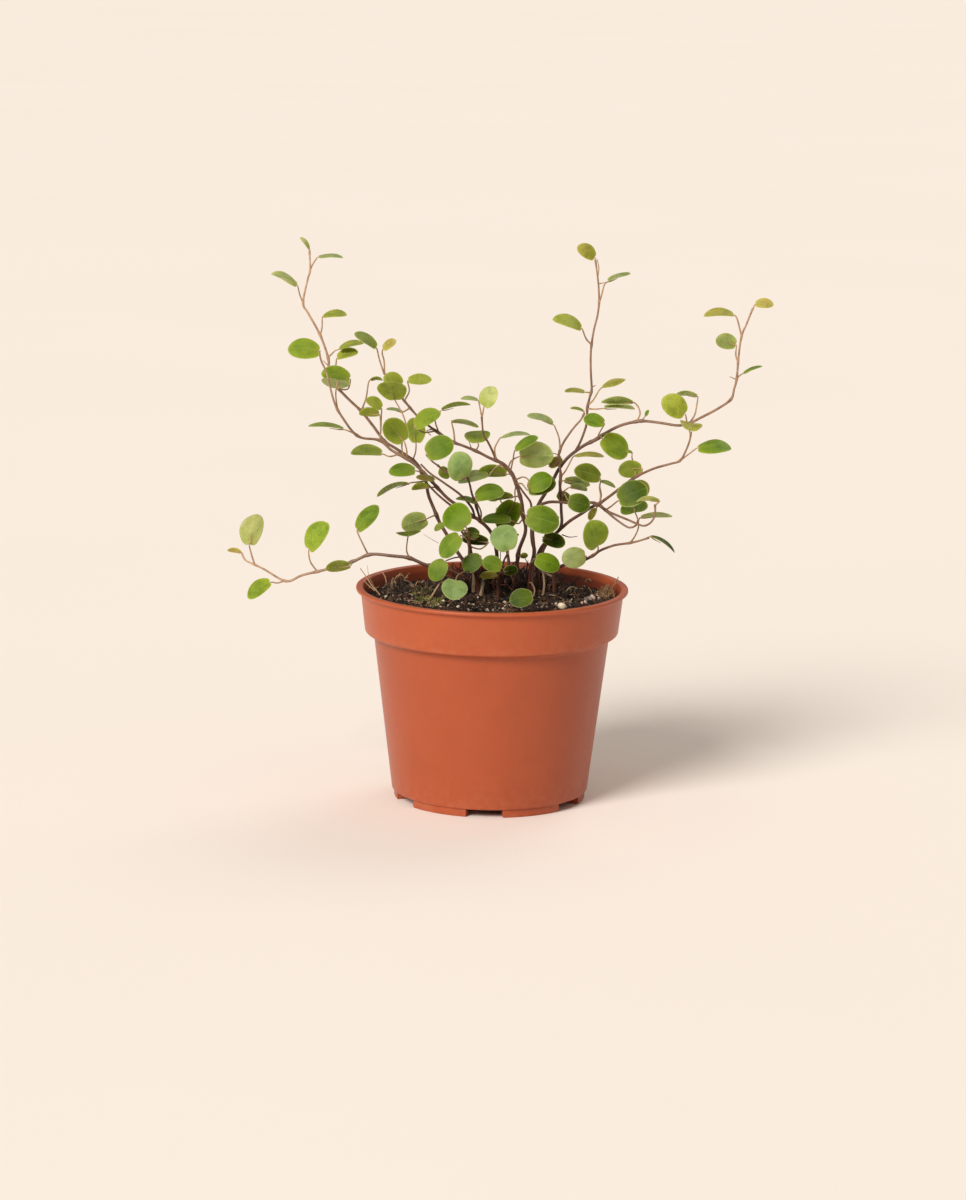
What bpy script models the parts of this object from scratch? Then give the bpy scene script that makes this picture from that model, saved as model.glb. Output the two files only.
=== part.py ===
"""Potted wire vine: a plastic nursery pot, its soil, and the wiry leafy stems that stand in it.

Lengths are in millimetres and become metres where a mesh is made. The pot's axis is the Z axis, and the
pot's feet stand on z = 0. Each leafy stem is one solid: the stem, its side shoots, leaf stalks and blades.
"""

import math

import bmesh
import bpy
from mathutils import Vector

MM = 0.001

# The pot: a rolled rim, a collar, a tapered body and a floor on six feet.
RIM_RADIUS = 34.0
RIM_TOP = 53.5
LIP_HEIGHT = 1.0
LIP_ROUND = 0.4
COLLAR_TOP_RADIUS = 32.85
COLLAR_FOOT_RADIUS = 31.7
COLLAR_FOOT = 42.9
COLLAR_ROUND = 0.7
BODY_TOP_RADIUS = 29.5
BODY_TOP = 41.7
BODY_FOOT_RADIUS = 24.5
BODY_CORNER = 1.0
WALL = 1.2
FLOOR_BOTTOM = 2.0
POT_SIDES = 40

FEET = 6
FOOT_ANGLE = 38.0
FIRST_FOOT_ANGLE = -62.5
FOOT_INNER_RADIUS = 21.6
FOOT_OUTER_RADIUS = 24.0
FOOT_ROOT = 2.7

# A drain hole lies in the floor behind each gap between two feet.
DRAIN_WIDTH = 5.0
DRAIN_LENGTH = 7.0
DRAIN_RADIUS = 18.0

# The soil: a lumpy top below the rim, a little higher in the middle and at the front.
SOIL_GAP = 0.35
SOIL_EDGE_HEIGHT = 50.4
SOIL_RISE = 0.8
SOIL_SLOPE = 0.035
SOIL_LUMP = 0.45
SOIL_WAVES = ((0.55, 0.30, 0.0), (-0.37, 0.41, 1.3), (0.80, -0.70, 0.5))
SOIL_RINGS = 6
SOIL_SIDES = 20
HOLE_BOTTOM = 47.4
HOLE_GAP = 0.5
HOLE_SIDES = 6

# Stems and leaves.
STEM_ROOT_RADIUS = 0.62
STEM_TIP_RADIUS = 0.36
SHOOT_ROOT_RADIUS = 0.42
STEM_SIDES = 5
STEM_BOTTOM = 47.9
STEM_CLEAR_OF_SOIL = 53.2
STALK_RADIUS = 0.36
STALK_SIDES = 3
STALK_SINK = 0.9
BLADE_THICKNESS = 0.6
BLADE_POINTS = 8
BLADE_ASPECT = 0.86
BLADE_ARCH = 0.07
BLADE_EAR = 0.06

# Places on the plant are given as a viewer in front of the pot sees them: across and up on the upright
# plane through the pot's axis, then the depth behind that plane. The viewer's eye is this far off.
EYE_ACROSS = -2.25
EYE_IN_FRONT = 980.3
EYE_UP = 247.7

# Which face of a blade shows from the front, and which way its tip leans from its base.
TOP, UNDER = 1, -1
NEAR, FAR = 1, -1

SMOOTH_ANGLE = math.radians(40)
LEAF_GREEN = (0.16, 0.30, 0.06)
LEAF_ROUGHNESS = 0.45
POT_TERRACOTTA = (0.56, 0.17, 0.09)
POT_ROUGHNESS = 0.42
SOIL_BROWN = (0.035, 0.022, 0.014)
SOIL_ROUGHNESS = 0.95

# Each leafy stem has the place where it stands in the soil, its shoots, and its leaves. The first shoot is
# the stem itself. A leaf has the place on a shoot where its stalk starts, the places that the stalk passes,
# the blade's base, its tip, its width as seen, the face that shows, the tip's lean, and sometimes its aspect.
LEAFY_STEMS = {
    "stem_low_left": {
        "root": (-7.5, 5.0),
        "shoots": [
            [
                (-8.2, 55.5, 5.0), (-11.0, 57.6, 5.0), (-16.5, 58.7, 5.5), (-20.7, 60.4, 6.0),
                (-25.0, 60.9, 6.5), (-30.5, 61.2, 7.5), (-35.0, 59.3, 8.5), (-41.6, 57.2, 10.0),
                (-47.4, 55.7, 11.5), (-51.5, 54.1, 12.5), (-56.9, 57.0, 13.5), (-59.4, 58.2, 14.0),
                (-61.7, 59.3, 14.5), (-62.5, 60.8, 15.0),
            ],
        ],
        "leaves": [
            ((-62.4, 60.6), [], (-62.6, 61.2, 15.0), (-66.2, 61.8), 1.3, UNDER, NEAR, 0.6),
            ((-59.4, 58.3), [(-60.1, 60.5, 13.5)], (-60.7, 63.0, 13.0), (-58.8, 71.0), 5.8, UNDER, NEAR),
            ((-51.8, 54.3), [(-53.6, 53.6, 12.0)], (-55.2, 53.8, 11.5), (-61.0, 49.7), 3.8, TOP, NEAR),
            ((-43.8, 56.7), [(-45.5, 59.2, 9.5)], (-45.9, 62.0, 9.0), (-41.0, 68.9), 5.2, TOP, NEAR),
            ((-35.0, 59.3), [], (-35.4, 58.3, 6.5), (-41.6, 57.2), 2.9, UNDER, NEAR),
            ((-31.0, 61.0), [(-32.4, 63.8, 7.0)], (-33.9, 67.2, 6.5), (-28.4, 73.3), 4.1, TOP, NEAR),
            ((-20.7, 60.4), [(-21.5, 62.5, 6.0)], (-21.05, 66.6, 6.0), (-20.95, 66.05), 6.4, TOP, NEAR),
        ],
    },
    "stem_tall_left": {
        "root": (-4.0, 8.0),
        "shoots": [
            [
                (-5.0, 56.5, 8.5), (-7.2, 59.8, 9.0), (-9.7, 63.5, 9.5), (-11.8, 67.0, 10.0),
                (-13.3, 69.5, 10.5), (-14.8, 73.0, 11.0), (-16.2, 76.5, 11.5), (-16.9, 80.0, 12.0),
                (-18.7, 83.7, 12.5), (-21.3, 86.0, 13.0), (-24.5, 88.1, 13.5), (-27.3, 89.9, 14.0),
                (-30.0, 93.5, 14.5), (-33.1, 97.3, 15.0), (-36.5, 100.5, 15.5), (-39.3, 103.6, 16.0),
                (-41.1, 107.3, 16.5), (-41.3, 110.3, 17.0), (-43.3, 116.0, 17.5), (-46.4, 121.6, 18.0),
                (-47.6, 124.0, 18.0), (-46.5, 129.8, 18.5), (-45.9, 132.2, 18.5), (-46.1, 137.0, 19.0),
            ],
        ],
        "leaves": [
            ((-46.1, 136.6), [], (-46.1, 137.3, 19.0), (-48.4, 140.2), 1.1, TOP, NEAR, 0.6),
            ((-45.9, 132.2), [(-45.2, 133.7, 18.5)], (-44.0, 135.4, 18.0), (-37.8, 135.3), 1.0, TOP, NEAR),
            ((-47.6, 124.0), [(-48.4, 126.0, 18.0)], (-49.0, 128.3, 18.0), (-55.3, 131.4), 2.0, TOP, NEAR),
            ((-43.3, 116.2), [(-42.9, 118.0, 17.0)], (-42.8, 120.7, 17.0), (-36.8, 121.3), 1.9, TOP, NEAR),
            ((-41.4, 110.5), [(-39.6, 112.3, 16.5)], (-38.8, 112.6, 16.5), (-32.6, 114.2), 1.6, TOP, NEAR),
            ((-41.1, 107.3), [(-39.6, 108.2, 16.0)], (-39.2, 110.4, 15.5), (-33.9, 111.9), 2.5, TOP, NEAR),
            ((-38.5, 102.7), [(-36.4, 102.8, 14.0)], (-35.8, 105.2, 13.0), (-43.0, 106.6), 4.3, TOP, FAR),
            (
                (-33.1, 97.3), [(-31.9, 100.5, 15.5), (-31.4, 104.0, 16.0)],
                (-31.0, 105.1, 16.0), (-27.8, 105.1), 0.9, UNDER, NEAR,
            ),
            ((-20.2, 85.1), [(-19.5, 87.2, 14.0)], (-19.4, 89.3, 14.8), (-20.2, 95.8), 4.8, UNDER, FAR),
            ((-14.1, 71.4), [(-14.9, 71.2, 8.5)], (-16.4, 70.5, 7.5), (-22.7, 68.2), 5.1, UNDER, NEAR),
        ],
    },
    "stem_inner_left": {
        "root": (0.5, 9.5),
        "shoots": [
            [
                (0.9, 56.0, 9.5), (1.0, 62.0, 9.0), (-0.4, 67.0, 8.5), (-3.1, 70.0, 8.0), (-5.0, 71.2, 7.8),
                (-7.0, 72.8, 7.5), (-10.8, 75.2, 7.0), (-13.5, 77.8, 7.0), (-16.2, 80.8, 7.0),
                (-19.5, 84.0, 7.5), (-22.5, 86.0, 8.0), (-25.5, 87.6, 8.5), (-28.4, 90.0, 9.0),
                (-32.4, 90.5, 8.0), (-34.1, 91.2, 7.0), (-35.5, 92.5, 6.0), (-36.8, 94.3, 5.0),
                (-38.9, 97.5, 3.5), (-40.1, 100.5, 2.0), (-41.2, 104.9, 0.5), (-42.0, 107.5, 0.0),
                (-43.0, 109.6, -0.5), (-43.6, 112.0, -1.0),
            ],
            [
                (-3.1, 70.0, 8.0), (-4.4, 74.2, 5.5), (-5.4, 77.0, 3.5), (-6.0, 79.4, 2.0),
                (-6.8, 81.2, 1.5), (-9.5, 81.8, 2.0), (-12.5, 82.8, 2.5), (-14.0, 84.0, 2.5),
            ],
        ],
        "leaves": [
            ((-43.6, 112.0), [], (-43.3, 112.1, -1.5), (-51.3, 112.6), 5.2, TOP, NEAR),
            ((-38.9, 97.5), [(-39.4, 101.5, 2.5)], (-38.9, 104.8, 2.0), (-40.0, 102.6), 7.0, UNDER, FAR),
            ((-34.1, 91.2), [(-35.6, 92.0, 6.5)], (-37.2, 92.6, 6.5), (-46.2, 93.2), 1.2, TOP, NEAR),
            ((-23.6, 86.6), [(-25.9, 86.0, 6.9)], (-27.6, 86.6, 6.5), (-35.6, 86.6), 2.9, TOP, NEAR),
            ((-17.4, 82.0), [], (-19.4, 82.5, 5.1), (-26.1, 82.2), 3.5, TOP, NEAR),
            ((-15.6, 80.2), [(-18.0, 79.8, 6.0)], (-20.9, 79.4, 5.5), (-29.0, 76.0), 1.4, UNDER, NEAR),
            ((-14.0, 78.4), [], (-15.9, 78.4, 5.5), (-20.4, 77.8), 1.8, UNDER, NEAR),
            ((-15.6, 80.2), [], (-14.6, 80.4, 4.0), (-19.3, 81.0), 1.7, TOP, NEAR),
            (
                (-28.4, 90.0), [(-28.2, 92.0, 8.5), (-28.1, 95.5, 8.0)],
                (-28.0, 98.0, 7.5), (-31.9, 100.2), 2.9, TOP, NEAR,
            ),
            ((-28.4, 90.0), [(-28.2, 93.0, 8.2)], (-28.5, 96.6, 7.0), (-33.6, 96.6), 2.4, UNDER, NEAR),
            ((-21.7, 85.5), [(-21.7, 87.5, 6.5)], (-22.3, 89.7, 5.5), (-26.8, 95.2), 6.1, UNDER, FAR),
            (
                (-22.3, 85.9),
                [(-22.9, 88.0, 7.0), (-22.7, 90.4, 7.5), (-21.7, 92.6, 7.5), (-22.6, 96.2, 7.5)],
                (-24.6, 99.9, 7.5), (-26.5, 104.6), 6.9, UNDER, NEAR,
            ),
            ((-3.1, 70.2), [(-3.1, 72.5, 6.0)], (-4.7, 76.0, 2.7), (2.6, 77.6), 4.2, TOP, NEAR),
            ((-14.0, 84.0), [(-15.2, 84.8, 1.5)], (-16.9, 86.6, 0.5), (-10.2, 89.9), 6.0, TOP, FAR),
            ((-6.8, 81.2), [], (-7.6, 80.6, -1.5), (-9.7, 87.2), 6.6, TOP, NEAR),
            ((-9.5, 81.8), [], (-11.2, 82.2, 4.5), (-13.8, 81.8), 3.4, UNDER, FAR),
        ],
    },
    "stem_arching_left": {
        "root": (5.5, 6.0),
        "shoots": [
            [
                (5.8, 56.0, 6.0), (6.2, 60.0, 6.0), (6.6, 63.0, 6.0), (8.0, 67.0, 6.0), (8.0, 69.5, 6.0),
                (7.3, 72.0, 6.0), (7.2, 74.2, 6.0), (6.5, 76.8, 6.3), (5.6, 79.6, 6.8), (4.6, 81.9, 7.3),
                (3.0, 83.8, 7.8), (1.4, 85.0, 8.0), (-1.1, 86.0, 8.3), (-4.3, 87.6, 8.8),
                (-8.1, 89.1, 9.5), (-9.8, 89.7, 9.8), (-13.8, 92.1, 10.5), (-16.5, 94.0, 11.0),
                (-19.2, 96.3, 11.5), (-22.4, 100.0, 12.0), (-24.9, 103.0, 12.5), (-27.5, 106.9, 13.0),
            ],
            [
                (8.0, 68.5, 6.0), (9.2, 71.5, 4.8), (9.4, 74.4, 4.6), (8.7, 75.8, 4.8), (7.6, 77.2, 5.3),
                (6.3, 79.0, 6.0), (5.4, 80.3, 7.0),
            ],
            [
                (0.6, 85.4, 8.0), (-0.7, 88.3, 7.5), (-1.7, 90.2, 7.0), (-2.7, 91.8, 6.5), (-3.0, 94.0, 6.0),
                (-3.2, 96.3, 6.0),
            ],
        ],
        "leaves": [
            ((-27.5, 106.7), [(-28.6, 110.0, 12.5)], (-29.4, 113.1, 12.0), (-34.9, 116.6), 2.6, TOP, NEAR),
            (
                (-27.4, 106.7), [(-27.5, 109.8, 13.3), (-28.0, 111.8, 13.6)],
                (-27.8, 112.8, 13.6), (-24.6, 115.1), 2.3, TOP, NEAR,
            ),
            ((-24.0, 102.0), [(-22.9, 102.6, 11.0)], (-23.0, 103.9, 9.5), (-27.6, 106.0), 4.4, TOP, NEAR),
            ((-20.9, 98.3), [], (-22.7, 97.2, 10.5), (-26.9, 97.8), 0.8, TOP, NEAR),
            ((-22.4, 100.0), [(-21.2, 102.5, 11.5)], (-21.7, 105.0, 11.0), (-15.7, 105.2), 2.8, TOP, NEAR),
            ((-14.5, 92.6), [(-17.5, 92.2, 9.5)], (-19.9, 93.5, 9.3), (-13.5, 97.3), 4.1, TOP, NEAR),
            ((-13.8, 92.1), [(-14.7, 95.4, 10.5)], (-13.3, 97.7, 10.5), (-6.0, 99.1), 1.1, UNDER, NEAR),
            ((-9.8, 89.7), [(-10.1, 92.5, 9.6)], (-10.7, 95.2, 9.4), (-3.9, 93.9), 1.3, UNDER, NEAR),
            ((-4.6, 87.7), [(-3.9, 89.0, 10.0)], (-4.0, 89.4, 11.0), (-4.3, 92.6), 6.6, TOP, FAR),
            ((-3.2, 96.3), [(-3.6, 98.2, 6.0)], (-4.1, 100.4, 6.0), (-8.5, 100.7), 1.1, TOP, NEAR),
            ((-3.2, 96.2), [(-2.9, 97.4, 5.7)], (-2.7, 98.8, 5.5), (0.1, 103.7), 4.5, TOP, NEAR),
            (
                (0.6, 85.4), [(0.1, 88.0, 6.5), (0.6, 89.6, 6.0)],
                (1.6, 91.2, 6.0), (8.9, 92.1), 1.1, TOP, NEAR,
            ),
            ((4.6, 81.9), [], (3.4, 82.0, 9.8), (-4.0, 82.2), 3.2, UNDER, NEAR),
            ((2.6, 84.1), [(0.8, 84.0, 7.5)], (-1.2, 81.6, 7.7), (-8.8, 79.6), 2.8, TOP, NEAR),
            ((3.5, 83.2), [(4.2, 85.2, 6.0)], (6.1, 86.4, 2.5), (14.7, 86.8), 6.7, UNDER, NEAR),
            ((4.1, 82.6), [(4.7, 85.6, 4.5)], (5.1, 88.0, 1.5), (10.8, 91.4), 2.4, TOP, NEAR),
            ((5.3, 80.5), [(7.2, 81.3, 4.0), (8.6, 80.6, 2.0)], (8.9, 78.6, 0.5), (14.3, 81.5), 4.9, TOP, NEAR),
            ((5.6, 79.6), [(7.0, 79.6, 5.0)], (8.4, 78.0, 3.2), (15.4, 80.2), 5.4, TOP, FAR),
            ((5.6, 79.4), [(5.3, 77.5, 7.4)], (5.4, 75.4, 7.4), (2.0, 67.8), 6.2, UNDER, FAR),
            ((6.6, 76.5), [], (5.0, 76.3, 5.6), (-0.4, 75.6), 2.0, UNDER, NEAR),
            ((7.6, 71.0), [(6.2, 69.5, 4.5)], (4.6, 70.3, 3.2), (-2.8, 70.2), 2.7, TOP, NEAR),
            ((7.3, 72.2), [(7.4, 72.4, 2.5)], (8.0, 71.7, -1.0), (16.4, 69.4), 7.0, TOP, NEAR),
            ((6.4, 61.5), [], (6.9, 61.2, 4.4), (8.8, 61.6), 1.5, UNDER, NEAR),
        ],
    },
    "stem_tall_right": {
        "root": (9.0, 10.0),
        "shoots": [
            [
                (9.1, 56.5, 10.0), (9.8, 59.5, 10.0), (10.4, 62.5, 10.0), (9.9, 65.0, 10.0),
                (9.7, 68.0, 10.0), (10.3, 72.0, 10.0), (11.5, 75.0, 10.0), (13.0, 77.5, 10.0),
                (14.9, 81.0, 10.0), (16.0, 83.2, 10.0), (18.0, 86.0, 10.0), (20.0, 87.8, 10.0),
                (22.5, 89.6, 9.5), (25.2, 91.0, 9.0), (27.5, 92.6, 8.5), (31.0, 94.5, 8.0),
                (34.5, 95.5, 7.0), (37.0, 95.8, 6.5), (41.0, 95.4, 5.0), (45.5, 94.8, 3.5),
                (48.3, 95.4, 2.0), (51.0, 96.8, 1.0), (55.0, 99.0, -1.0), (58.4, 101.5, -3.0),
                (59.1, 104.0, -4.0), (59.7, 106.7, -4.5), (60.0, 112.0, -5.5), (60.6, 117.2, -6.5),
                (61.8, 120.4, -7.5), (63.2, 124.2, -8.0),
            ],
            [
                (20.0, 87.8, 10.0), (21.2, 90.0, 10.5), (22.3, 93.0, 11.0), (22.9, 95.5, 11.5),
                (22.9, 98.7, 12.0), (23.5, 101.7, 12.5), (23.9, 103.5, 13.0), (23.6, 108.0, 13.5),
                (23.5, 112.0, 14.0), (23.7, 115.0, 14.5), (24.2, 118.5, 15.0), (25.0, 122.0, 15.5),
                (25.3, 125.0, 15.5), (25.2, 128.0, 16.0), (24.9, 131.0, 16.0), (24.2, 135.6, 16.0),
            ],
        ],
        "leaves": [
            ((63.2, 124.0), [], (63.7, 125.2, -8.0), (68.3, 125.2), 2.5, TOP, NEAR, 0.7),
            (
                (60.6, 117.2), [(60.0, 119.6, -7.0), (59.4, 121.6, -7.5)],
                (58.7, 122.5, -7.5), (51.2, 122.2), 2.1, TOP, NEAR,
            ),
            ((59.9, 110.8), [(59.3, 112.6, -5.0)], (59.4, 115.1, -4.0), (54.3, 116.4), 4.0, UNDER, NEAR),
            ((59.7, 106.7), [(60.4, 107.5, -4.5)], (61.2, 108.0, -4.5), (66.0, 109.9), 0.8, TOP, NEAR),
            (
                (48.3, 95.4), [(49.5, 97.4, 2.5), (49.9, 99.3, 3.0)],
                (50.2, 102.1, 3.5), (44.5, 102.3), 1.3, UNDER, NEAR,
            ),
            ((47.7, 95.2), [(47.5, 96.4, 1.0)], (47.2, 97.6, 0.0), (41.5, 101.6), 5.7, TOP, NEAR),
            ((26.4, 91.8), [], (26.6, 91.4, 6.0), (32.9, 86.9), 6.0, TOP, NEAR),
            ((36.3, 95.8), [], (37.3, 97.0, 6.5), (38.1, 98.6), 0.9, TOP, NEAR, 0.6),
            (
                (35.2, 95.6), [(36.0, 97.6, 6.5), (35.4, 99.5, 6.5)],
                (34.4, 100.4, 6.5), (26.3, 100.4), 1.8, UNDER, NEAR,
            ),
            ((22.9, 98.7), [(25.0, 98.6, 10.0)], (26.9, 98.8, 8.5), (34.7, 98.5), 1.4, TOP, NEAR),
            ((25.6, 91.3), [(26.0, 92.6, 5.0)], (27.3, 95.0, 1.8), (22.0, 96.0), 3.5, TOP, NEAR),
            ((24.2, 135.4), [], (24.1, 136.2, 16.0), (19.8, 139.0), 3.6, TOP, NEAR),
            (
                (25.3, 125.0), [(25.9, 127.0, 15.0), (26.5, 129.5, 14.5)],
                (27.3, 130.3, 14.5), (33.0, 132.2), 1.1, TOP, NEAR,
            ),
            (
                (23.7, 114.6), [(22.3, 116.1, 13.5)],
                (21.2, 118.6, 12.0), (14.0, 121.0), 3.1, TOP, NEAR,
            ),
            ((23.7, 102.7), [], (22.3, 102.8, 12.0), (17.2, 102.9), 1.3, TOP, NEAR),
            (
                (23.1, 99.6), [(24.3, 100.8, 11.5), (25.6, 103.1, 11.0)],
                (26.4, 104.0, 11.0), (32.3, 106.0), 1.7, TOP, NEAR,
            ),
        ],
    },
    "stem_inner_right": {
        "root": (12.8, 8.0),
        "shoots": [
            [
                (12.6, 57.0, 8.0), (12.3, 62.0, 8.0), (13.8, 65.1, 8.0), (16.4, 68.0, 8.0),
                (17.1, 70.0, 7.8), (16.9, 73.0, 7.5), (16.8, 76.0, 7.0), (16.5, 79.0, 6.5),
                (16.6, 82.3, 6.0), (16.1, 85.0, 5.5), (16.1, 87.3, 5.5), (17.0, 89.8, 5.3),
                (18.6, 92.4, 5.0), (20.0, 94.3, 4.7), (21.3, 95.8, 4.6), (22.2, 97.5, 4.6),
            ],
        ],
        "leaves": [
            (
                (16.3, 88.0), [(16.1, 91.0, 5.0), (15.1, 93.7, 4.5)],
                (14.6, 94.6, 4.5), (8.0, 96.6), 1.8, TOP, NEAR,
            ),
            ((16.1, 85.2), [], (15.6, 85.5, 6.4), (12.8, 85.2), 2.6, UNDER, NEAR, 0.75),
            ((22.2, 97.4), [], (22.1, 98.1, 4.6), (18.7, 98.8), 0.8, TOP, NEAR, 0.6),
            ((16.7, 81.6), [(17.9, 83.2, 5.5)], (19.7, 86.7, 5.0), (27.3, 86.8), 1.3, TOP, NEAR),
            ((16.5, 80.2), [], (17.4, 80.6, 5.5), (23.9, 79.4), 2.4, UNDER, NEAR),
            ((16.7, 77.2), [(18.0, 78.3, 6.4)], (18.9, 78.9, 6.0), (23.3, 78.1), 1.8, UNDER, NEAR),
            (
                (16.8, 76.6), [(17.7, 77.2, 4.0), (18.0, 76.6, 0.0)],
                (18.5, 75.6, -3.2), (24.0, 74.1), 4.8, TOP, NEAR,
            ),
        ],
    },
    "stem_branching_right": {
        "root": (11.6, 4.0),
        "shoots": [
            [
                (11.2, 57.5, 4.2), (11.0, 60.5, 4.2), (12.1, 63.5, 4.2), (13.6, 65.2, 4.0),
                (16.3, 67.8, 3.5), (19.0, 70.3, 2.0), (22.0, 72.3, 0.5), (24.5, 74.0, -1.0),
                (26.5, 75.0, -2.0), (29.8, 77.5, -3.0), (32.0, 79.3, -4.0), (34.6, 81.3, -5.5),
                (36.5, 82.4, -6.5), (40.0, 84.0, -8.5), (44.0, 85.2, -10.5), (46.2, 86.0, -11.5),
                (47.6, 88.6, -12.5), (48.5, 91.3, -13.0), (48.7, 93.2, -13.5),
            ],
        ],
        "leaves": [
            ((46.2, 86.0), [(48.0, 87.4, -12.0)], (50.3, 89.2, -12.0), (58.8, 89.6), 3.4, TOP, NEAR),
            ((48.7, 93.0), [], (48.3, 93.3, -13.7), (48.7, 95.3), 5.7, TOP, FAR),
            ((35.5, 81.9), [(36.7, 82.9, -5.0)], (36.8, 84.0, -4.5), (30.9, 83.3), 4.4, UNDER, FAR),
            ((34.6, 81.3), [], (35.0, 80.2, -4.6), (38.2, 76.9), 4.4, TOP, FAR),
            ((13.9, 65.5), [], (12.4, 66.2, 1.6), (18.0, 64.4), 3.8, UNDER, NEAR),
            (
                (26.4, 75.0), [(26.6, 77.0, -1.5), (26.3, 78.8, -1.0)],
                (26.6, 81.2, -1.0), (19.9, 83.2), 4.5, TOP, NEAR,
            ),
            (
                (26.4, 75.0), [(26.8, 77.0, -1.2), (26.4, 79.0, -0.4)],
                (26.6, 80.5, 0.2), (30.3, 79.0), 1.1, TOP, NEAR,
            ),
            (
                (35.4, 81.8), [(34.9, 84.4, -2.5), (34.2, 86.6, -3.0)],
                (34.3, 87.8, -3.0), (32.7, 88.2), 0.8, TOP, NEAR, 0.6,
            ),
        ],
    },
    "stem_hooked_right": {
        "root": (9.9, 0.6),
        "shoots": [
            [
                (10.0, 57.0, 1.0), (10.3, 62.5, 1.3), (10.1, 65.0, 1.5), (9.9, 68.0, 1.5),
                (10.6, 71.5, 2.0), (11.6, 74.1, 2.3), (12.8, 74.8, 2.5), (14.6, 75.15, 2.7),
                (18.3, 75.05, 3.0), (22.0, 75.05, 2.5), (24.5, 75.1, 2.0), (26.2, 74.6, 1.5),
                (28.0, 73.2, 0.5), (30.0, 72.3, -1.0), (32.0, 71.5, -2.5), (34.0, 70.7, -4.5),
                (35.6, 70.0, -6.0), (37.4, 69.4, -7.5), (38.8, 69.9, -9.0), (39.8, 71.0, -10.0),
                (40.3, 72.5, -10.5), (40.2, 74.8, -11.0),
            ],
            [
                (28.0, 73.2, 0.5), (29.5, 71.8, -0.5), (32.5, 69.6, -3.0), (34.1, 68.9, -4.0),
                (35.6, 69.5, -4.5), (36.1, 70.8, -5.0),
            ],
        ],
        "leaves": [
            (
                (28.0, 73.3), [(29.5, 74.4, -2.2), (30.4, 75.2, -5.9)],
                (31.0, 75.6, -7.7), (38.2, 79.0), 6.4, TOP, NEAR,
            ),
            ((40.2, 74.6), [], (41.4, 75.7, -11.2), (35.6, 75.5), 1.2, UNDER, NEAR),
            ((36.1, 70.7), [], (36.5, 71.4, -5.0), (44.6, 71.7), 1.4, UNDER, NEAR),
            ((26.2, 74.5), [], (25.6, 73.7, 0.6), (24.0, 70.6), 1.8, UNDER, NEAR, 0.6),
        ],
    },
    "stem_low_right": {
        "root": (15.5, 0.0),
        "shoots": [
            [
                (15.3, 56.5, 0.0), (16.5, 58.5, -0.8), (19.0, 59.6, -2.0), (22.5, 60.4, -4.0),
                (25.0, 61.7, -5.2), (27.0, 63.1, -6.5), (30.0, 64.3, -8.0), (32.0, 64.7, -9.0),
                (34.0, 65.0, -10.0), (36.5, 65.6, -11.5), (38.8, 66.4, -12.5),
            ],
        ],
        "leaves": [
            ((38.7, 66.4), [], (39.2, 66.8, -12.7), (45.4, 62.7), 0.9, TOP, NEAR),
            ((25.0, 61.7), [(26.2, 63.0, -7.0)], (26.2, 64.0, -8.0), (23.8, 70.5), 6.8, TOP, NEAR),
            (
                (34.2, 65.0), [(35.4, 66.8, -7.0), (36.2, 69.0, -2.8), (36.0, 71.0, -1.5)],
                (35.3, 72.8, -1.0), (34.3, 76.6), 7.1, UNDER, FAR,
            ),
            ((22.4, 60.4), [(23.2, 60.9, -5.5)], (23.3, 61.6, -7.0), (17.3, 60.6), 5.3, TOP, NEAR),
        ],
    },
    "stem_front_left": {
        "root": (-3.5, -1.5),
        "shoots": [
            [
                (-3.9, 55.0, -2.0), (-4.5, 58.5, -4.0), (-5.2, 61.5, -7.0), (-5.8, 64.5, -9.0),
                (-6.2, 67.3, -10.0),
            ],
        ],
        "leaves": [
            ((-6.2, 67.1), [], (-6.7, 68.4, -10.5), (-11.4, 73.5), 7.4, TOP, FAR),
            ((-6.0, 65.8), [(-4.6, 65.4, -8.5)], (-3.3, 66.6, -7.5), (-7.2, 67.2), 2.6, TOP, FAR),
            ((-5.6, 63.5), [(-3.6, 63.5, -7.5)], (-2.2, 64.6, -6.5), (-7.3, 64.8), 2.0, UNDER, FAR),
            ((-5.6, 63.5), [(-6.8, 65.6, -9.5)], (-8.1, 66.3, -10.0), (-12.9, 60.9), 4.8, TOP, NEAR),
            ((-6.2, 67.1), [(-9.0, 68.4, -8.0)], (-11.9, 69.2, -6.5), (-14.6, 67.5), 1.7, TOP, NEAR, 0.7),
            ((-4.8, 59.8), [(-8.5, 60.8, -7.5)], (-11.7, 59.8, -9.0), (-15.4, 55.0), 4.6, TOP, NEAR),
            ((-5.0, 60.7), [(-3.8, 61.4, -8.0)], (-2.8, 61.0, -9.0), (-7.2, 57.6), 4.4, TOP, NEAR),
            (
                (-4.2, 57.0), [(-6.6, 57.2, -12.0), (-8.6, 56.2, -21.0)],
                (-9.1, 55.0, -27.0), (-9.8, 49.8), 6.4, TOP, NEAR,
            ),
        ],
    },
    "stem_front_middle": {
        "root": (1.5, -3.5),
        "shoots": [[(1.6, 54.0, -4.0), (1.9, 57.0, -5.5), (3.0, 60.5, -7.0), (3.8, 61.8, -7.5)]],
        "leaves": [
            ((3.8, 61.7), [], (4.0, 62.5, -7.8), (1.7, 69.0), 6.9, TOP, FAR),
            ((1.9, 57.0), [(2.6, 57.4, -9.0)], (2.3, 58.2, -12.0), (-2.5, 60.0), 4.1, TOP, NEAR),
            ((1.7, 55.2), [], (1.4, 56.2, -7.5), (-3.2, 56.0), 1.9, UNDER, NEAR),
            ((1.9, 56.8), [], (2.8, 57.2, -4.0), (6.4, 57.9), 2.6, UNDER, FAR),
        ],
    },
    "stem_front_right": {
        "root": (9.2, -3.5),
        "shoots": [[(9.3, 54.0, -4.0), (9.4, 57.0, -5.5), (9.7, 59.8, -7.5)]],
        "leaves": [
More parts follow.
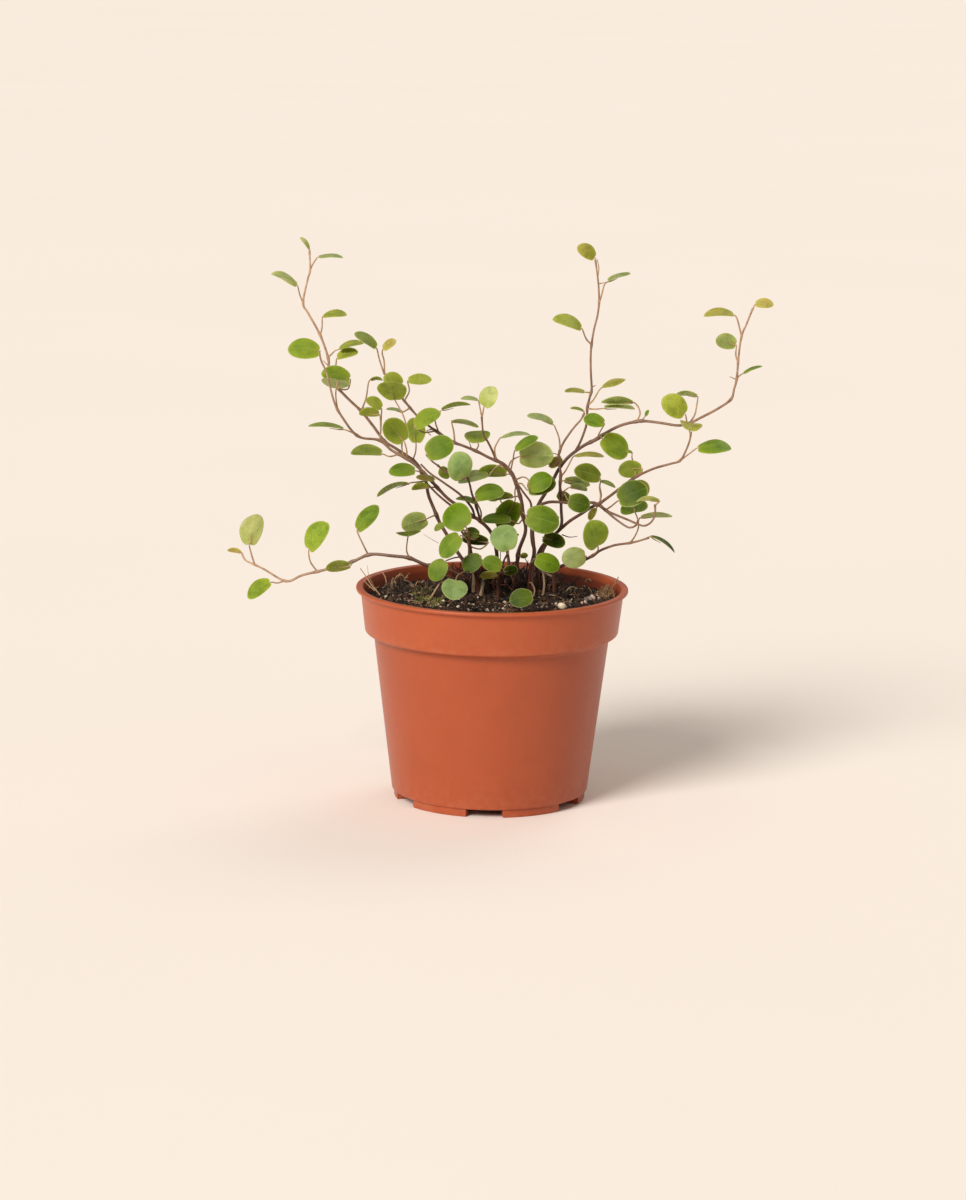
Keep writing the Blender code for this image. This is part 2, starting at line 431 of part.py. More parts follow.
            ((9.7, 59.6), [], (10.5, 60.7, -9.0), (16.8, 58.6), 4.7, TOP, NEAR),
            (
                (9.3, 54.6), [(9.9, 54.4, -13.0), (10.6, 52.8, -22.0)],
                (10.3, 51.2, -27.0), (4.4, 49.8), 4.6, TOP, NEAR,
            ),
        ],
    },
    "stem_back_middle": {
        "root": (4.0, 14.0),
        "shoots": [
            [(4.0, 56.5, 15.0), (4.0, 60.0, 17.5), (3.2, 65.0, 20.0), (3.0, 70.0, 23.0), (2.4, 74.0, 26.0)],
        ],
        "leaves": [
            ((3.2, 65.0), [], (2.6, 65.6, 22.5), (0.9, 66.9), 4.6, TOP, FAR),
            ((3.4, 63.9), [], (4.2, 65.4, 18.0), (4.8, 67.0), 3.8, UNDER, NEAR),
            ((3.0, 70.0), [], (3.2, 71.2, 26.0), (3.0, 73.6), 5.0, TOP, FAR),
            ((2.4, 74.0), [], (1.4, 75.9, 27.0), (-2.2, 77.4), 3.4, TOP, FAR),
        ],
    },
    "stem_back_right": {
        "root": (12.0, 14.0),
        "shoots": [
            [
                (12.0, 57.0, 15.0), (12.3, 60.0, 17.0), (12.4, 63.5, 19.0), (14.0, 66.0, 21.0),
                (12.5, 70.0, 24.0),
            ],
        ],
        "leaves": [
            ((12.3, 60.0), [], (13.4, 59.9, 19.0), (15.6, 59.4), 3.2, TOP, FAR),
            ((14.0, 66.0), [], (15.0, 65.6, 23.0), (16.8, 65.6), 1.7, TOP, FAR),
            ((12.5, 70.0), [], (11.8, 70.6, 26.5), (10.4, 72.6), 5.0, TOP, FAR),
            ((13.0, 68.8), [], (14.0, 69.2, 24.0), (14.8, 71.6), 4.0, UNDER, NEAR),
        ],
    },
    "stem_back_left": {
        "root": (-6.5, 12.5),
        "shoots": [
            [
                (-6.3, 56.8, 13.5), (-6.0, 60.0, 16.0), (-6.0, 64.0, 18.5), (-8.0, 67.8, 21.0),
                (-9.0, 71.0, 24.0),
            ],
        ],
        "leaves": [
            ((-9.0, 71.0), [], (-9.2, 71.8, 26.5), (-8.0, 73.2), 4.6, TOP, FAR),
            ((-8.4, 69.0), [], (-10.2, 69.2, 24.0), (-11.4, 70.8), 3.6, TOP, FAR),
            ((-7.0, 65.9), [], (-9.3, 65.0, 21.5), (-11.0, 63.2), 3.2, TOP, FAR),
            ((-6.0, 60.0), [], (-5.2, 59.4, 18.0), (-4.0, 60.2), 3.0, TOP, FAR),
        ],
    },
}


def clear_scene():
    for thing in list(bpy.data.objects):
        bpy.data.objects.remove(thing, do_unlink=True)


def material(name, colour, roughness):
    """A plain Principled finish in one colour."""
    made = bpy.data.materials.new(name)
    made.use_nodes = True
    shader = made.node_tree.nodes["Principled BSDF"]
    shader.inputs["Base Color"].default_value = (*colour, 1.0)
    shader.inputs["Roughness"].default_value = roughness
    shader.inputs["Metallic"].default_value = 0.0
    return made


def add_object(name, points, faces, collection=None):
    """A mesh object from points in millimetres, with its faces turned outwards."""
    mesh = bpy.data.meshes.new(name)
    mesh.from_pydata([Vector(point) * MM for point in points], [], faces)
    shape = bmesh.new()
    shape.from_mesh(mesh)
    bmesh.ops.recalc_face_normals(shape, faces=shape.faces)
    shape.to_mesh(mesh)
    shape.free()
    thing = bpy.data.objects.new(name, mesh)
    (collection or bpy.context.scene.collection).objects.link(thing)
    return thing


def turned(name, profile, sides, height=None):
    """A closed solid turned round Z. The profile runs from the axis to the axis as (radius, z)."""
    points = []
    rings = []
    for radius, z in profile:
        if radius == 0:
            rings.append([len(points)] * sides)
            points.append((0.0, 0.0, z))
            continue
        rings.append(list(range(len(points), len(points) + sides)))
        for side in range(sides):
            angle = 2 * math.pi * side / sides
            x = radius * math.cos(angle)
            y = radius * math.sin(angle)
            points.append((x, y, z if height is None else height(x, y, z)))
    faces = []
    for lower, upper in zip(rings, rings[1:]):
        for side in range(sides):
            after = (side + 1) % sides
            corners = [lower[side], lower[after], upper[after], upper[side]]
            faces.append(list(dict.fromkeys(corners)))
    return add_object(name, points, faces)


def apply_modifier(thing, modifier):
    bpy.context.view_layer.objects.active = thing
    bpy.ops.object.modifier_apply(modifier=modifier.name)


def join_collection(thing, operation, collection):
    """Unites the collection's solids with the object, or cuts them from it, and removes them."""
    modifier = thing.modifiers.new(operation.lower(), "BOOLEAN")
    modifier.operation = operation
    modifier.operand_type = "COLLECTION"
    modifier.collection = collection
    modifier.solver = "MANIFOLD"
    apply_modifier(thing, modifier)
    for part in list(collection.objects):
        bpy.data.objects.remove(part, do_unlink=True)
    bpy.data.collections.remove(collection)


def new_collection(name):
    made = bpy.data.collections.new(name)
    bpy.context.scene.collection.children.link(made)
    return made


def inset(profile, distance):
    """The profile moved inwards by this distance: each point goes where the moved lines beside it meet."""
    normals = []
    for (radius, z), (next_radius, next_z) in zip(profile, profile[1:]):
        normals.append(Vector((z - next_z, next_radius - radius)).normalized())
    moved = []
    for index, point in enumerate(profile):
        before = normals[max(index - 1, 0)]
        after = normals[min(index, len(normals) - 1)]
        moved.append(tuple(Vector(point) + distance * (before + after) / (1 + before.dot(after))))
    return moved


def outside_profile():
    """The pot's outside from the middle of the floor up to the lip, as (radius, z)."""
    return [
        (0, FLOOR_BOTTOM),
        (BODY_FOOT_RADIUS - BODY_CORNER, FLOOR_BOTTOM),
        (BODY_FOOT_RADIUS, FLOOR_BOTTOM + BODY_CORNER),
        (BODY_TOP_RADIUS, BODY_TOP),
        (COLLAR_FOOT_RADIUS - COLLAR_ROUND, COLLAR_FOOT - COLLAR_ROUND),
        (COLLAR_FOOT_RADIUS, COLLAR_FOOT),
        (COLLAR_TOP_RADIUS, RIM_TOP - LIP_HEIGHT),
    ]


def pot_profile():
    """The pot's whole section, up its outside, over the lip and down its inside."""
    lip = [
        (RIM_RADIUS, RIM_TOP - LIP_HEIGHT + LIP_ROUND),
        (RIM_RADIUS, RIM_TOP - LIP_ROUND),
        (RIM_RADIUS - LIP_ROUND, RIM_TOP),
        (COLLAR_TOP_RADIUS - WALL + LIP_ROUND, RIM_TOP),
    ]
    outside = outside_profile()
    return outside + lip + inset(outside, WALL)[::-1]


def arc_block(name, inner, outer, middle_angle, wide_angle, bottom, top, steps, collection):
    """A block bent round the Z axis, such as a foot of the pot."""
    points = []
    for step in range(steps + 1):
        angle = math.radians(middle_angle + wide_angle * (step / steps - 0.5))
        for radius, z in ((inner, bottom), (outer, bottom), (outer, top), (inner, top)):
            points.append((radius * math.cos(angle), radius * math.sin(angle), z))
    faces = [[0, 1, 2, 3], [4 * steps + 3, 4 * steps + 2, 4 * steps + 1, 4 * steps]]
    for step in range(steps):
        for corner in range(4):
            here = 4 * step + corner
            beside = 4 * step + (corner + 1) % 4
            faces.append([here, beside, beside + 4, here + 4])
    return add_object(name, points, faces, collection)


def make_pot(finish):
    pot = turned("pot", pot_profile(), POT_SIDES)
    feet = new_collection("feet")
    drains = new_collection("drains")
    drain_wide = math.degrees(DRAIN_WIDTH / DRAIN_RADIUS)
    for foot in range(FEET):
        angle = FIRST_FOOT_ANGLE + 360 * foot / FEET
        arc_block("foot", FOOT_INNER_RADIUS, FOOT_OUTER_RADIUS, angle, FOOT_ANGLE, 0.0, FOOT_ROOT, 4, feet)
        arc_block(
            "drain", DRAIN_RADIUS - DRAIN_LENGTH / 2, DRAIN_RADIUS + DRAIN_LENGTH / 2,
            angle + 180 / FEET, drain_wide, FLOOR_BOTTOM - WALL, FLOOR_BOTTOM + 2 * WALL, 2, drains,
        )
    join_collection(pot, "UNION", feet)
    join_collection(pot, "DIFFERENCE", drains)
    finish_object(pot, finish)


def soil_height(x, y, z):
    """The top's height: a low mound on a slope, with lumps made by crossing waves. The sides stay as they are."""
    if z < SOIL_EDGE_HEIGHT:
        return z
    out = math.hypot(x, y) / (COLLAR_TOP_RADIUS - WALL)
    lumps = sum(math.sin(across * x + along * y + start) for across, along, start in SOIL_WAVES)
    return z + SOIL_RISE * (1 - out**2) - SOIL_SLOPE * y + SOIL_LUMP * lumps * (1 - out**6)


def make_soil(finish):
    """The fill of the pot. Its edge is as narrow all round as the collar is where the slope ends lowest."""
    sides = inset(outside_profile(), WALL + SOIL_GAP)[:-1]
    lowest = SOIL_EDGE_HEIGHT - SOIL_SLOPE * COLLAR_TOP_RADIUS
    rise = (lowest - COLLAR_FOOT) / (RIM_TOP - LIP_HEIGHT - COLLAR_FOOT)
    edge = COLLAR_FOOT_RADIUS + rise * (COLLAR_TOP_RADIUS - COLLAR_FOOT_RADIUS) - WALL - SOIL_GAP
    top = [(edge * (1 - ring / SOIL_RINGS), SOIL_EDGE_HEIGHT) for ring in range(SOIL_RINGS)]
    soil = turned("soil", sides + top + [(0, SOIL_EDGE_HEIGHT + SOIL_RISE)], SOIL_SIDES, soil_height)
    holes = new_collection("holes")
    radius = STEM_ROOT_RADIUS + HOLE_GAP
    for stem in LEAFY_STEMS.values():
        x, y = stem["root"]
        rings = [ring_round(Vector((x, y, z)), Vector((0, 0, 1)), Vector((1, 0, 0)), radius, HOLE_SIDES)
                 for z in (HOLE_BOTTOM, RIM_TOP)]
        add_object("hole", *skin(rings), holes)
    join_collection(soil, "DIFFERENCE", holes)
    finish_object(soil, finish)


def ring_round(centre, along, across, radius, sides):
    beside = along.cross(across).normalized()
    ahead = beside.cross(along).normalized()
    turns = [2 * math.pi * side / sides for side in range(sides)]
    return [centre + radius * (math.cos(turn) * ahead + math.sin(turn) * beside) for turn in turns]


def skin(rings):
    """Points and faces of a closed tube through rings of equal size."""
    sides = len(rings[0])
    points = [point for ring in rings for point in ring]
    faces = [list(range(sides - 1, -1, -1)), list(range(len(points) - sides, len(points)))]
    for step in range(len(rings) - 1):
        for side in range(sides):
            here = step * sides + side
            beside = step * sides + (side + 1) % sides
            faces.append([here, beside, beside + sides, here + sides])
    return points, faces


def tube(name, route, radii, sides, collection=None):
    """A closed tube along a route, its section carried along without twist."""
    directions = []
    for index in range(len(route)):
        before = route[max(index - 1, 0)]
        after = route[min(index + 1, len(route) - 1)]
        directions.append((after - before).normalized())
    across = directions[0].orthogonal().normalized()
    rings = []
    for point, along, radius in zip(route, directions, radii):
        across = (across - across.dot(along) * along).normalized()
        rings.append(ring_round(point, along, across, radius, sides))
    return add_object(name, *skin(rings), collection)


def seen(across, up, depth):
    """The place at this depth that the viewer sees at this point of the plane through the pot's axis."""
    grow = 1 + depth / EYE_IN_FRONT
    return Vector((EYE_ACROSS + (across - EYE_ACROSS) * grow, depth, EYE_UP + (up - EYE_UP) * grow))


def nearest_depth(shoots, across, up):
    """The depth of the shoot that passes nearest to this place as seen."""
    found = []
    for shoot in shoots:
        for start, end in zip(shoot, shoot[1:]):
            run = (end[0] - start[0], end[1] - start[1])
            length = run[0] ** 2 + run[1] ** 2
            part = ((across - start[0]) * run[0] + (up - start[1]) * run[1]) / length
            part = min(max(part, 0.0), 1.0)
            off = math.hypot(start[0] + part * run[0] - across, start[1] + part * run[1] - up)
            found.append((off, start[2] + part * (end[2] - start[2])))
    return min(found)[1]


def blade_frame(base, tip, width, face, lean, aspect):
    """The blade's base and tip in space, its true width, and the direction that its top faces.

    A blade that looks short for its width leans towards the viewer or away. One that looks narrow for its
    length is turned about its midrib, with the face that is named still showing.
    """
    start = seen(*base)
    seen_length = math.hypot(tip[0] - base[0], tip[1] - base[1])
    length = max(width / aspect, seen_length)
    depth = base[2] - lean * math.sqrt(length**2 - seen_length**2)
    end = seen(tip[0], tip[1], depth)
    along = (end - start).normalized()
    to_viewer = Vector((EYE_ACROSS, -EYE_IN_FRONT, EYE_UP)) - (start + end) / 2
    facing = (to_viewer - to_viewer.dot(along) * along).normalized()
    sideways = facing.cross(along)
    if sideways.z < 0:
        sideways = -sideways
    true_width = max(width, aspect * (end - start).length)
    turn = math.acos(width / true_width)
    top = face * math.cos(turn) * facing + math.sin(turn) * sideways
    return start, end, true_width, top.normalized()


def add_blade(start, end, width, top, collection):
    """A round blade: two fans of triangles alike on both faces, arched along the midrib, joined at the rim."""
    along = (end - start).normalized()
    across = top.cross(along)
    length = (end - start).length

    def place(reach, side, face):
        arch = BLADE_ARCH * length * (1 - (2 * reach - 1) ** 2)
        lift = arch + face * BLADE_THICKNESS / 2
        return start + reach * length * along + side * width / 2 * across + lift * top

    rim = []
    for index in range(BLADE_POINTS):
        angle = 2 * math.pi * index / BLADE_POINTS
        reach = 0.5 - (0.5 + BLADE_EAR / 2) * math.cos(angle) - BLADE_EAR / 2
        rim.append((reach, math.sin(angle)))
    points = [place(reach, side, face) for face in (1, -1) for reach, side in rim]
    upper_middle = len(points)
    points.append(place(0.5, 0.0, 1))
    points.append(place(0.5, 0.0, -1))
    faces = []
    for index in range(BLADE_POINTS):
        after = (index + 1) % BLADE_POINTS
        faces.append([upper_middle, index, after])
        faces.append([upper_middle + 1, after + BLADE_POINTS, index + BLADE_POINTS])
        faces.append([index, index + BLADE_POINTS, after + BLADE_POINTS, after])
    add_object("blade", points, faces, collection)


def add_leaf(shoots, row, collection):
    at, via, base, tip, width, face, lean, *rest = row
    aspect = rest[0] if rest else BLADE_ASPECT
    start, end, true_width, top = blade_frame(base, tip, width, face, lean, aspect)
    sunk = start + STALK_SINK * (end - start).normalized()
    route = [seen(at[0], at[1], nearest_depth(shoots, *at))] + [seen(*place) for place in via] + [sunk]
    tube("stalk", route, [STALK_RADIUS] * len(route), STALK_SIDES, collection)
    add_blade(start, end, true_width, top, collection)


def tapering(first, last, count):
    return [first + (last - first) * index / (count - 1) for index in range(count)]


def make_leafy_stem(name, stem, finish):
    """One stem with its side shoots, leaf stalks and blades, joined in one solid."""
    main, *others = stem["shoots"]
    x, y = stem["root"]
    route = [Vector((x, y, STEM_BOTTOM)), Vector((x, y, STEM_CLEAR_OF_SOIL))] + [seen(*place) for place in main]
    body = tube(name, route, tapering(STEM_ROOT_RADIUS, STEM_TIP_RADIUS, len(route)), STEM_SIDES)
    pieces = new_collection(name + "_pieces")
    for shoot in others:
        route = [seen(*place) for place in shoot]
        tube("shoot", route, tapering(SHOOT_ROOT_RADIUS, STEM_TIP_RADIUS, len(route)), STEM_SIDES, pieces)
    for row in stem["leaves"]:
        add_leaf(stem["shoots"], row, pieces)
    join_collection(body, "UNION", pieces)
    finish_object(body, finish)


def finish_object(thing, finish):
    thing.data.materials.clear()
    thing.data.materials.append(finish)
    thing.data.shade_smooth()
    thing.data.set_sharp_from_angle(angle=SMOOTH_ANGLE)


def main():
    clear_scene()
    terracotta = material("terracotta_plastic", POT_TERRACOTTA, POT_ROUGHNESS)
    earth = material("soil", SOIL_BROWN, SOIL_ROUGHNESS)
    foliage = material("foliage", LEAF_GREEN, LEAF_ROUGHNESS)
    make_pot(terracotta)
    make_soil(earth)
    for name, stem in LEAFY_STEMS.items():
        make_leafy_stem(name, stem, foliage)


main()
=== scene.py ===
# %% [markdown]
# # A wire vine in a nursery pot
#
# This lesson dresses a small potted vine: a terracotta-coloured plastic pot, dark potting mix, and thin brown
# stems with round leaves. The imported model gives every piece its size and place, and nothing here changes
# them. Each cell builds one piece or one finish, in metres, and prints what it made.

# %% Load the frame
import math
import random

import bmesh
import bpy
from mathutils import Matrix, Quaternion, Vector, noise


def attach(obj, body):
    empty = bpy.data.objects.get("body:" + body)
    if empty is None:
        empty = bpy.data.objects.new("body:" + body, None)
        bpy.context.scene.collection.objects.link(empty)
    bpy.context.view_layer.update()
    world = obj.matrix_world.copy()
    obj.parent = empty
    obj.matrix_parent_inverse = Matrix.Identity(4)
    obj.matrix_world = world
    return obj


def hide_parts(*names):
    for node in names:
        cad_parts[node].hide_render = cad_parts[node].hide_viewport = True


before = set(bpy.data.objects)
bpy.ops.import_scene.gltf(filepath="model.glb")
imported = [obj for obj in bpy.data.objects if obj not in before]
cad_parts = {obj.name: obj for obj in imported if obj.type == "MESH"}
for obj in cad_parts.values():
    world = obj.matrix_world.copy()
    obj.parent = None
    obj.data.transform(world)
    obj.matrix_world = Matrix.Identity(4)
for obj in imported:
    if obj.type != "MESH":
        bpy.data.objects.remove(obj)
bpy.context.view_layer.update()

MM = 0.001

# %% [markdown]
# ## The camera
#
# The plant is looked at from a little above its rim, through a long lens, so that near and far leaves keep
# nearly the same size. A short lens would be easier to place, but it would swell the pot's front. The camera
# is added at its place and aimed with a track quaternion, then rolled by a fraction of a degree, because the
# pot in the picture leans by that much.

# %% Place the camera
EYE = Vector((-2.25, -980.3, 247.7)) * MM
AIM = Vector((-2.25, 0.0, 50.0)) * MM
ROLL = math.radians(0.8)
aim_turn = (AIM - EYE).to_track_quat("-Z", "Y") @ Quaternion((0, 0, 1), ROLL)
bpy.ops.object.camera_add(location=EYE, rotation=aim_turn.to_euler())
camera = bpy.context.object
camera.data.lens = 120
camera.data.sensor_width = 36
camera.data.clip_end = 50
bpy.context.scene.camera = camera
bpy.context.scene.view_settings.view_transform = "Standard"
print("camera is", round((EYE - AIM).length, 3), "m from its aim")

# %% [markdown]
# ## Helpers for working by hand
#
# Most pieces below start as a primitive and are shaped with the same operators that a person would use in edit
# mode. An operator acts on whatever is selected, so three small helpers clear the selection, open a piece for
# editing, and select parts of it by their place. Lengths are written in millimetres and turned into metres
# where they meet Blender.

# %% Select and edit
def pick(piece):
    bpy.ops.object.select_all(action="DESELECT")
    piece.select_set(True)
    bpy.context.view_layer.objects.active = piece


def open_for_edit(piece, kind):
    """Edit mode on this piece, with nothing selected. The kind is VERT, EDGE or FACE."""
    pick(piece)
    bpy.ops.object.mode_set(mode="EDIT")
    bpy.ops.mesh.select_mode(type=kind)
    bpy.ops.mesh.select_all(action="DESELECT")


def select_where(piece, kind, test):
    """Selects the vertices, edges or faces whose middle, in millimetres, passes the test."""
    shape = bmesh.from_edit_mesh(piece.data)
    for part in {"VERT": shape.verts, "EDGE": shape.edges, "FACE": shape.faces}[kind]:
        corners = [part.co] if kind == "VERT" else [corner.co for corner in part.verts]
        if test(sum(corners, Vector()) / len(corners) / MM):
            part.select_set(True)
    bmesh.update_edit_mesh(piece.data)


def apply_modifier(piece, kind, **settings):
    pick(piece)
    modifier = piece.modifiers.new(kind.lower(), kind)
    for setting, value in settings.items():
        setattr(modifier, setting, value)
    bpy.ops.object.modifier_apply(modifier=modifier.name)


# %% [markdown]
# ## Handing a piece over
#
# Every finished piece keeps its place in its mesh, rides on the one body of this model, and names and hides
# the node that it stands for. One helper does all of it, so that no piece is forgotten.

# %% Finish a piece
SMOOTH_ANGLE = math.radians(38)


def hand_over(piece, name, finish, slot, *nodes):
    piece.name = name
    piece.data.name = name
    pick(piece)
    bpy.ops.object.transform_apply(location=True, rotation=True, scale=True)
    bpy.ops.object.shade_smooth_by_angle(angle=SMOOTH_ANGLE)
    piece.data.materials.clear()
    piece.data.materials.append(finish)
    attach(piece, "root")
    for node in nodes:
        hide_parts(node)
    triangles = sum(len(face.vertices) - 2 for face in piece.data.polygons)
    print(f"{name}: {triangles} triangles, stands for {', '.join(nodes) or 'nothing in the model'}")


# %% [markdown]
# ## Helpers for finishes
#
# A finish is a tree of shader nodes. Writing each node out takes many lines, so a few helpers add a node and
# wire it in one go: a value that is a socket is linked, and a plain number is set.

# %% Node helpers
def colour(red, green, blue):
    """A colour as a person reads it off a screen, 0 to 255, made linear for the shader."""
    def linear(value):
        share = value / 255
        return share / 12.92 if share <= 0.04045 else ((share + 0.055) / 1.055) ** 2.4
    return (linear(red), linear(green), linear(blue), 1.0)


def feed(tree, socket, value):
    if isinstance(value, bpy.types.NodeSocket):
        tree.links.new(value, socket)
    else:
        socket.default_value = value


def add_node(tree, kind, **inputs):
    node = tree.nodes.new("ShaderNode" + kind)
    for name, value in inputs.items():
        feed(tree, node.inputs[name.replace("_", " ")], value)
    return node


def maths(tree, operation, first, second=0.0):
    node = tree.nodes.new("ShaderNodeMath")
    node.operation = operation
    feed(tree, node.inputs[0], first)
    feed(tree, node.inputs[1], second)
    return node.outputs[0]


def blend(tree, share, first, second, how="MIX"):
    """A mix of two colours."""
    node = tree.nodes.new("ShaderNodeMix")
    node.data_type = "RGBA"
    node.blend_type = how
    feed(tree, node.inputs[0], share)
    feed(tree, node.inputs[6], first)
    feed(tree, node.inputs[7], second)
    return node.outputs[2]


def ramp(tree, value, low, high, at_low=0.0, at_high=1.0):
    """The value brought from the range low to high into at_low to at_high, and held there outside it."""
    node = add_node(tree, "MapRange", Value=value, From_Min=low, From_Max=high, To_Min=at_low, To_Max=at_high)
    return node.outputs[0]


def new_finish(name, roughness, specular=0.5):
    """An empty finish: the material, its tree, its shader, and the object's own coordinates."""
    finish = bpy.data.materials.new(name)
    finish.use_nodes = True
    tree = finish.node_tree
    shader = tree.nodes["Principled BSDF"]
    shader.inputs["Roughness"].default_value = roughness
    shader.inputs["Specular IOR Level"].default_value = specular
    place = tree.nodes.new("ShaderNodeTexCoord").outputs["Object"]
    return finish, tree, shader, place


def new_group(name, inputs, outputs):
    """An empty shader node group with these sockets: inputs are (name, kind, value), outputs (name, kind)."""
    group = bpy.data.node_groups.new(name, "ShaderNodeTree")
    for label, kind, value in inputs:
        group.interface.new_socket(name=label, in_out="INPUT", socket_type=kind).default_value = value
    for label, kind in outputs:
        group.interface.new_socket(name=label, in_out="OUTPUT", socket_type=kind)
    return group, group.nodes.new("NodeGroupInput").outputs, group.nodes.new("NodeGroupOutput").inputs


def use_group(tree, group, **inputs):
    node = tree.nodes.new("ShaderNodeGroup")
    node.node_tree = group
    for name, value in inputs.items():
        feed(tree, node.inputs[name.replace("_", " ")], value)
    return node.outputs


# %% [markdown]
# ## Two shared effects
#
# Nearly every surface here has soft patches of a second colour, and a fine grain that catches the light. Both
# are shader node groups, built once and placed in each finish with its own size and strength. The patches are
# a noise pushed through a ramp. The grain is the same noise much finer, and it goes out as a height for bump.

# %% Build the patches and grain groups
patches, given, gives = new_group(
    "patches",
    [
        ("Place", "NodeSocketVector", (0, 0, 0)),
        ("Patch Size", "NodeSocketFloat", 3.0),
        ("Amount", "NodeSocketFloat", 0.5),
        ("Main", "NodeSocketColor", (0.5, 0.5, 0.5, 1)),
        ("Patch", "NodeSocketColor", (0.3, 0.3, 0.3, 1)),
    ],
    [("Color", "NodeSocketColor"), ("Mask", "NodeSocketFloat")],
)
per_metre = maths(patches, "DIVIDE", 1 / MM, given["Patch Size"])
cloud = add_node(patches, "TexNoise", Vector=given["Place"], Scale=per_metre, Detail=4.0)
mask = maths(patches, "MULTIPLY", ramp(patches, cloud.outputs[0], 0.42, 0.68), given["Amount"])
feed(patches, gives["Color"], blend(patches, mask, given["Main"], given["Patch"]))
feed(patches, gives["Mask"], mask)

grain, given, gives = new_group(
    "grain",
    [
        ("Place", "NodeSocketVector", (0, 0, 0)),
        ("Grain Size", "NodeSocketFloat", 0.3),
        ("Roughness", "NodeSocketFloat", 0.5),
        ("Spread", "NodeSocketFloat", 0.1),
    ],
    [("Height", "NodeSocketFloat"), ("Roughness", "NodeSocketFloat")],
)
per_metre = maths(grain, "DIVIDE", 1 / MM, given["Grain Size"])
fine = add_node(grain, "TexNoise", Vector=given["Place"], Scale=per_metre, Detail=3.0)
swing = maths(grain, "MULTIPLY", maths(grain, "SUBTRACT", fine.outputs[0], 0.5), given["Spread"])
feed(grain, gives["Height"], fine.outputs[0])
feed(grain, gives["Roughness"], maths(grain, "ADD", given["Roughness"], swing))
print("groups:", patches.name, "and", grain.name)


# %% Bump from a height
def bump(tree, shader, height, depth, strength=1.0):
    """Feeds the shader's normal with a relief of this depth in millimetres."""
    node = add_node(tree, "Bump", Height=height, Distance=depth * MM, Strength=strength)
    feed(tree, shader.inputs["Normal"], node.outputs[0])


# %% [markdown]
# ## The pot's finish
#
# The pot is thin moulded plastic in a terracotta colour with a satin surface. Up close it has small dark
# specks, faint clouds where the colour was mixed, and pale dust that clings to the collar and the foot. The
# clouds are the patches group, the specks are a fine noise cut off high, and the dust is a second set of
# patches that is stronger just under the collar and near the ground. Painted shade darkens the wall inside,
# above the soil, by the distance from the axis and the height, and a painted shadow of the stems darkens it
# more behind their foot. Painted shade also makes the body below the collar a little darker than the collar.

# %% Mix the terracotta plastic
COLLAR_FOOT = 42.9
terracotta, tree, shader, place = new_finish("terracotta_plastic", 0.40, 0.4)
clouds = use_group(
    tree, patches, Place=place, Patch_Size=9.0, Amount=0.3, Main=colour(176, 82, 44), Patch=colour(162, 73, 39)
)
speck_noise = add_node(tree, "TexNoise", Vector=place, Scale=1 / (0.45 * MM), Detail=2.0)
specks = ramp(tree, speck_noise.outputs[0], 0.68, 0.74, 0.0, 0.4)
speckled = blend(tree, specks, clouds["Color"], colour(128, 54, 34))
axes = add_node(tree, "SeparateXYZ", Vector=place).outputs
height = maths(tree, "DIVIDE", axes[2], MM)
near_ground = ramp(tree, height, 9.0, 0.0, 0.0, 0.3)
under_collar = ramp(tree, maths(tree, "ABSOLUTE", maths(tree, "SUBTRACT", height, COLLAR_FOOT)), 2.2, 0.0, 0.0, 0.15)
dusty = maths(tree, "ADD", maths(tree, "ADD", near_ground, under_collar), 0.04)
dusted = use_group(
    tree, patches, Place=place, Patch_Size=2.2, Amount=dusty, Main=speckled, Patch=colour(198, 122, 88)
)
# Painted shade: the body below the collar is blended a fifth of the way to a darker brown.
body_shade = ramp(tree, height, COLLAR_FOOT, COLLAR_FOOT - 1.0, 0.0, 0.2)
shaded_body = blend(tree, body_shade, dusted["Color"], colour(120, 46, 26))
# Painted shade on the wall inside: darker within the wall's radius, between the soil and the lip.
off_axis = maths(tree, "SQRT", maths(tree, "ADD", maths(tree, "POWER", axes[0], 2), maths(tree, "POWER", axes[1], 2)))
above_soil = maths(tree, "MULTIPLY", ramp(tree, height, 46.0, 46.5), ramp(tree, height, 53.2, 51.5, 0.0, 0.6))
inside = maths(tree, "MULTIPLY", ramp(tree, off_axis, 32.1 * MM, 31.9 * MM), above_soil)
inner_wall_shaded = blend(tree, inside, shaded_body, colour(96, 38, 24))
# Painted shadow of the stems: the inner wall darkens further behind the crown of stems.
crown_shadow = ramp(tree, maths(tree, "ABSOLUTE", maths(tree, "SUBTRACT", axes[0], 7 * MM)), 23 * MM, 9 * MM, 0.0, 1.5)
crown_shadowed = blend(tree, maths(tree, "MULTIPLY", inside, crown_shadow), inner_wall_shaded, colour(38, 15, 9))
feed(tree, shader.inputs["Base Color"], crown_shadowed)
surface = use_group(tree, grain, Place=place, Grain_Size=0.5, Roughness=0.38, Spread=0.14)
feed(tree, shader.inputs["Roughness"], surface["Roughness"])
bump(tree, shader, surface["Height"], 0.03)
print("finish:", terracotta.name)

# %% [markdown]
# ## The pot
#
# The pot is one turned shape: a floor, a tapered body, a collar that stands out from it, and a thin rounded
# lip. It could be a profile that is spun round the axis, but then the seam has to be closed. Here a filled
# circle is added and its cap is extruded and resized again and again, up the outside, over the lip and down
# the inside, as a potter pulls clay. The cap ends as the inner floor, so the pot is closed from the start. The
# corners are softened beforehand, each into a short curve. A ring close to each end of a curve holds the wall
# flat, or the smooth shading would tilt the light over the whole wall.

# %% Soften a section's corners
HOLD = 0.4


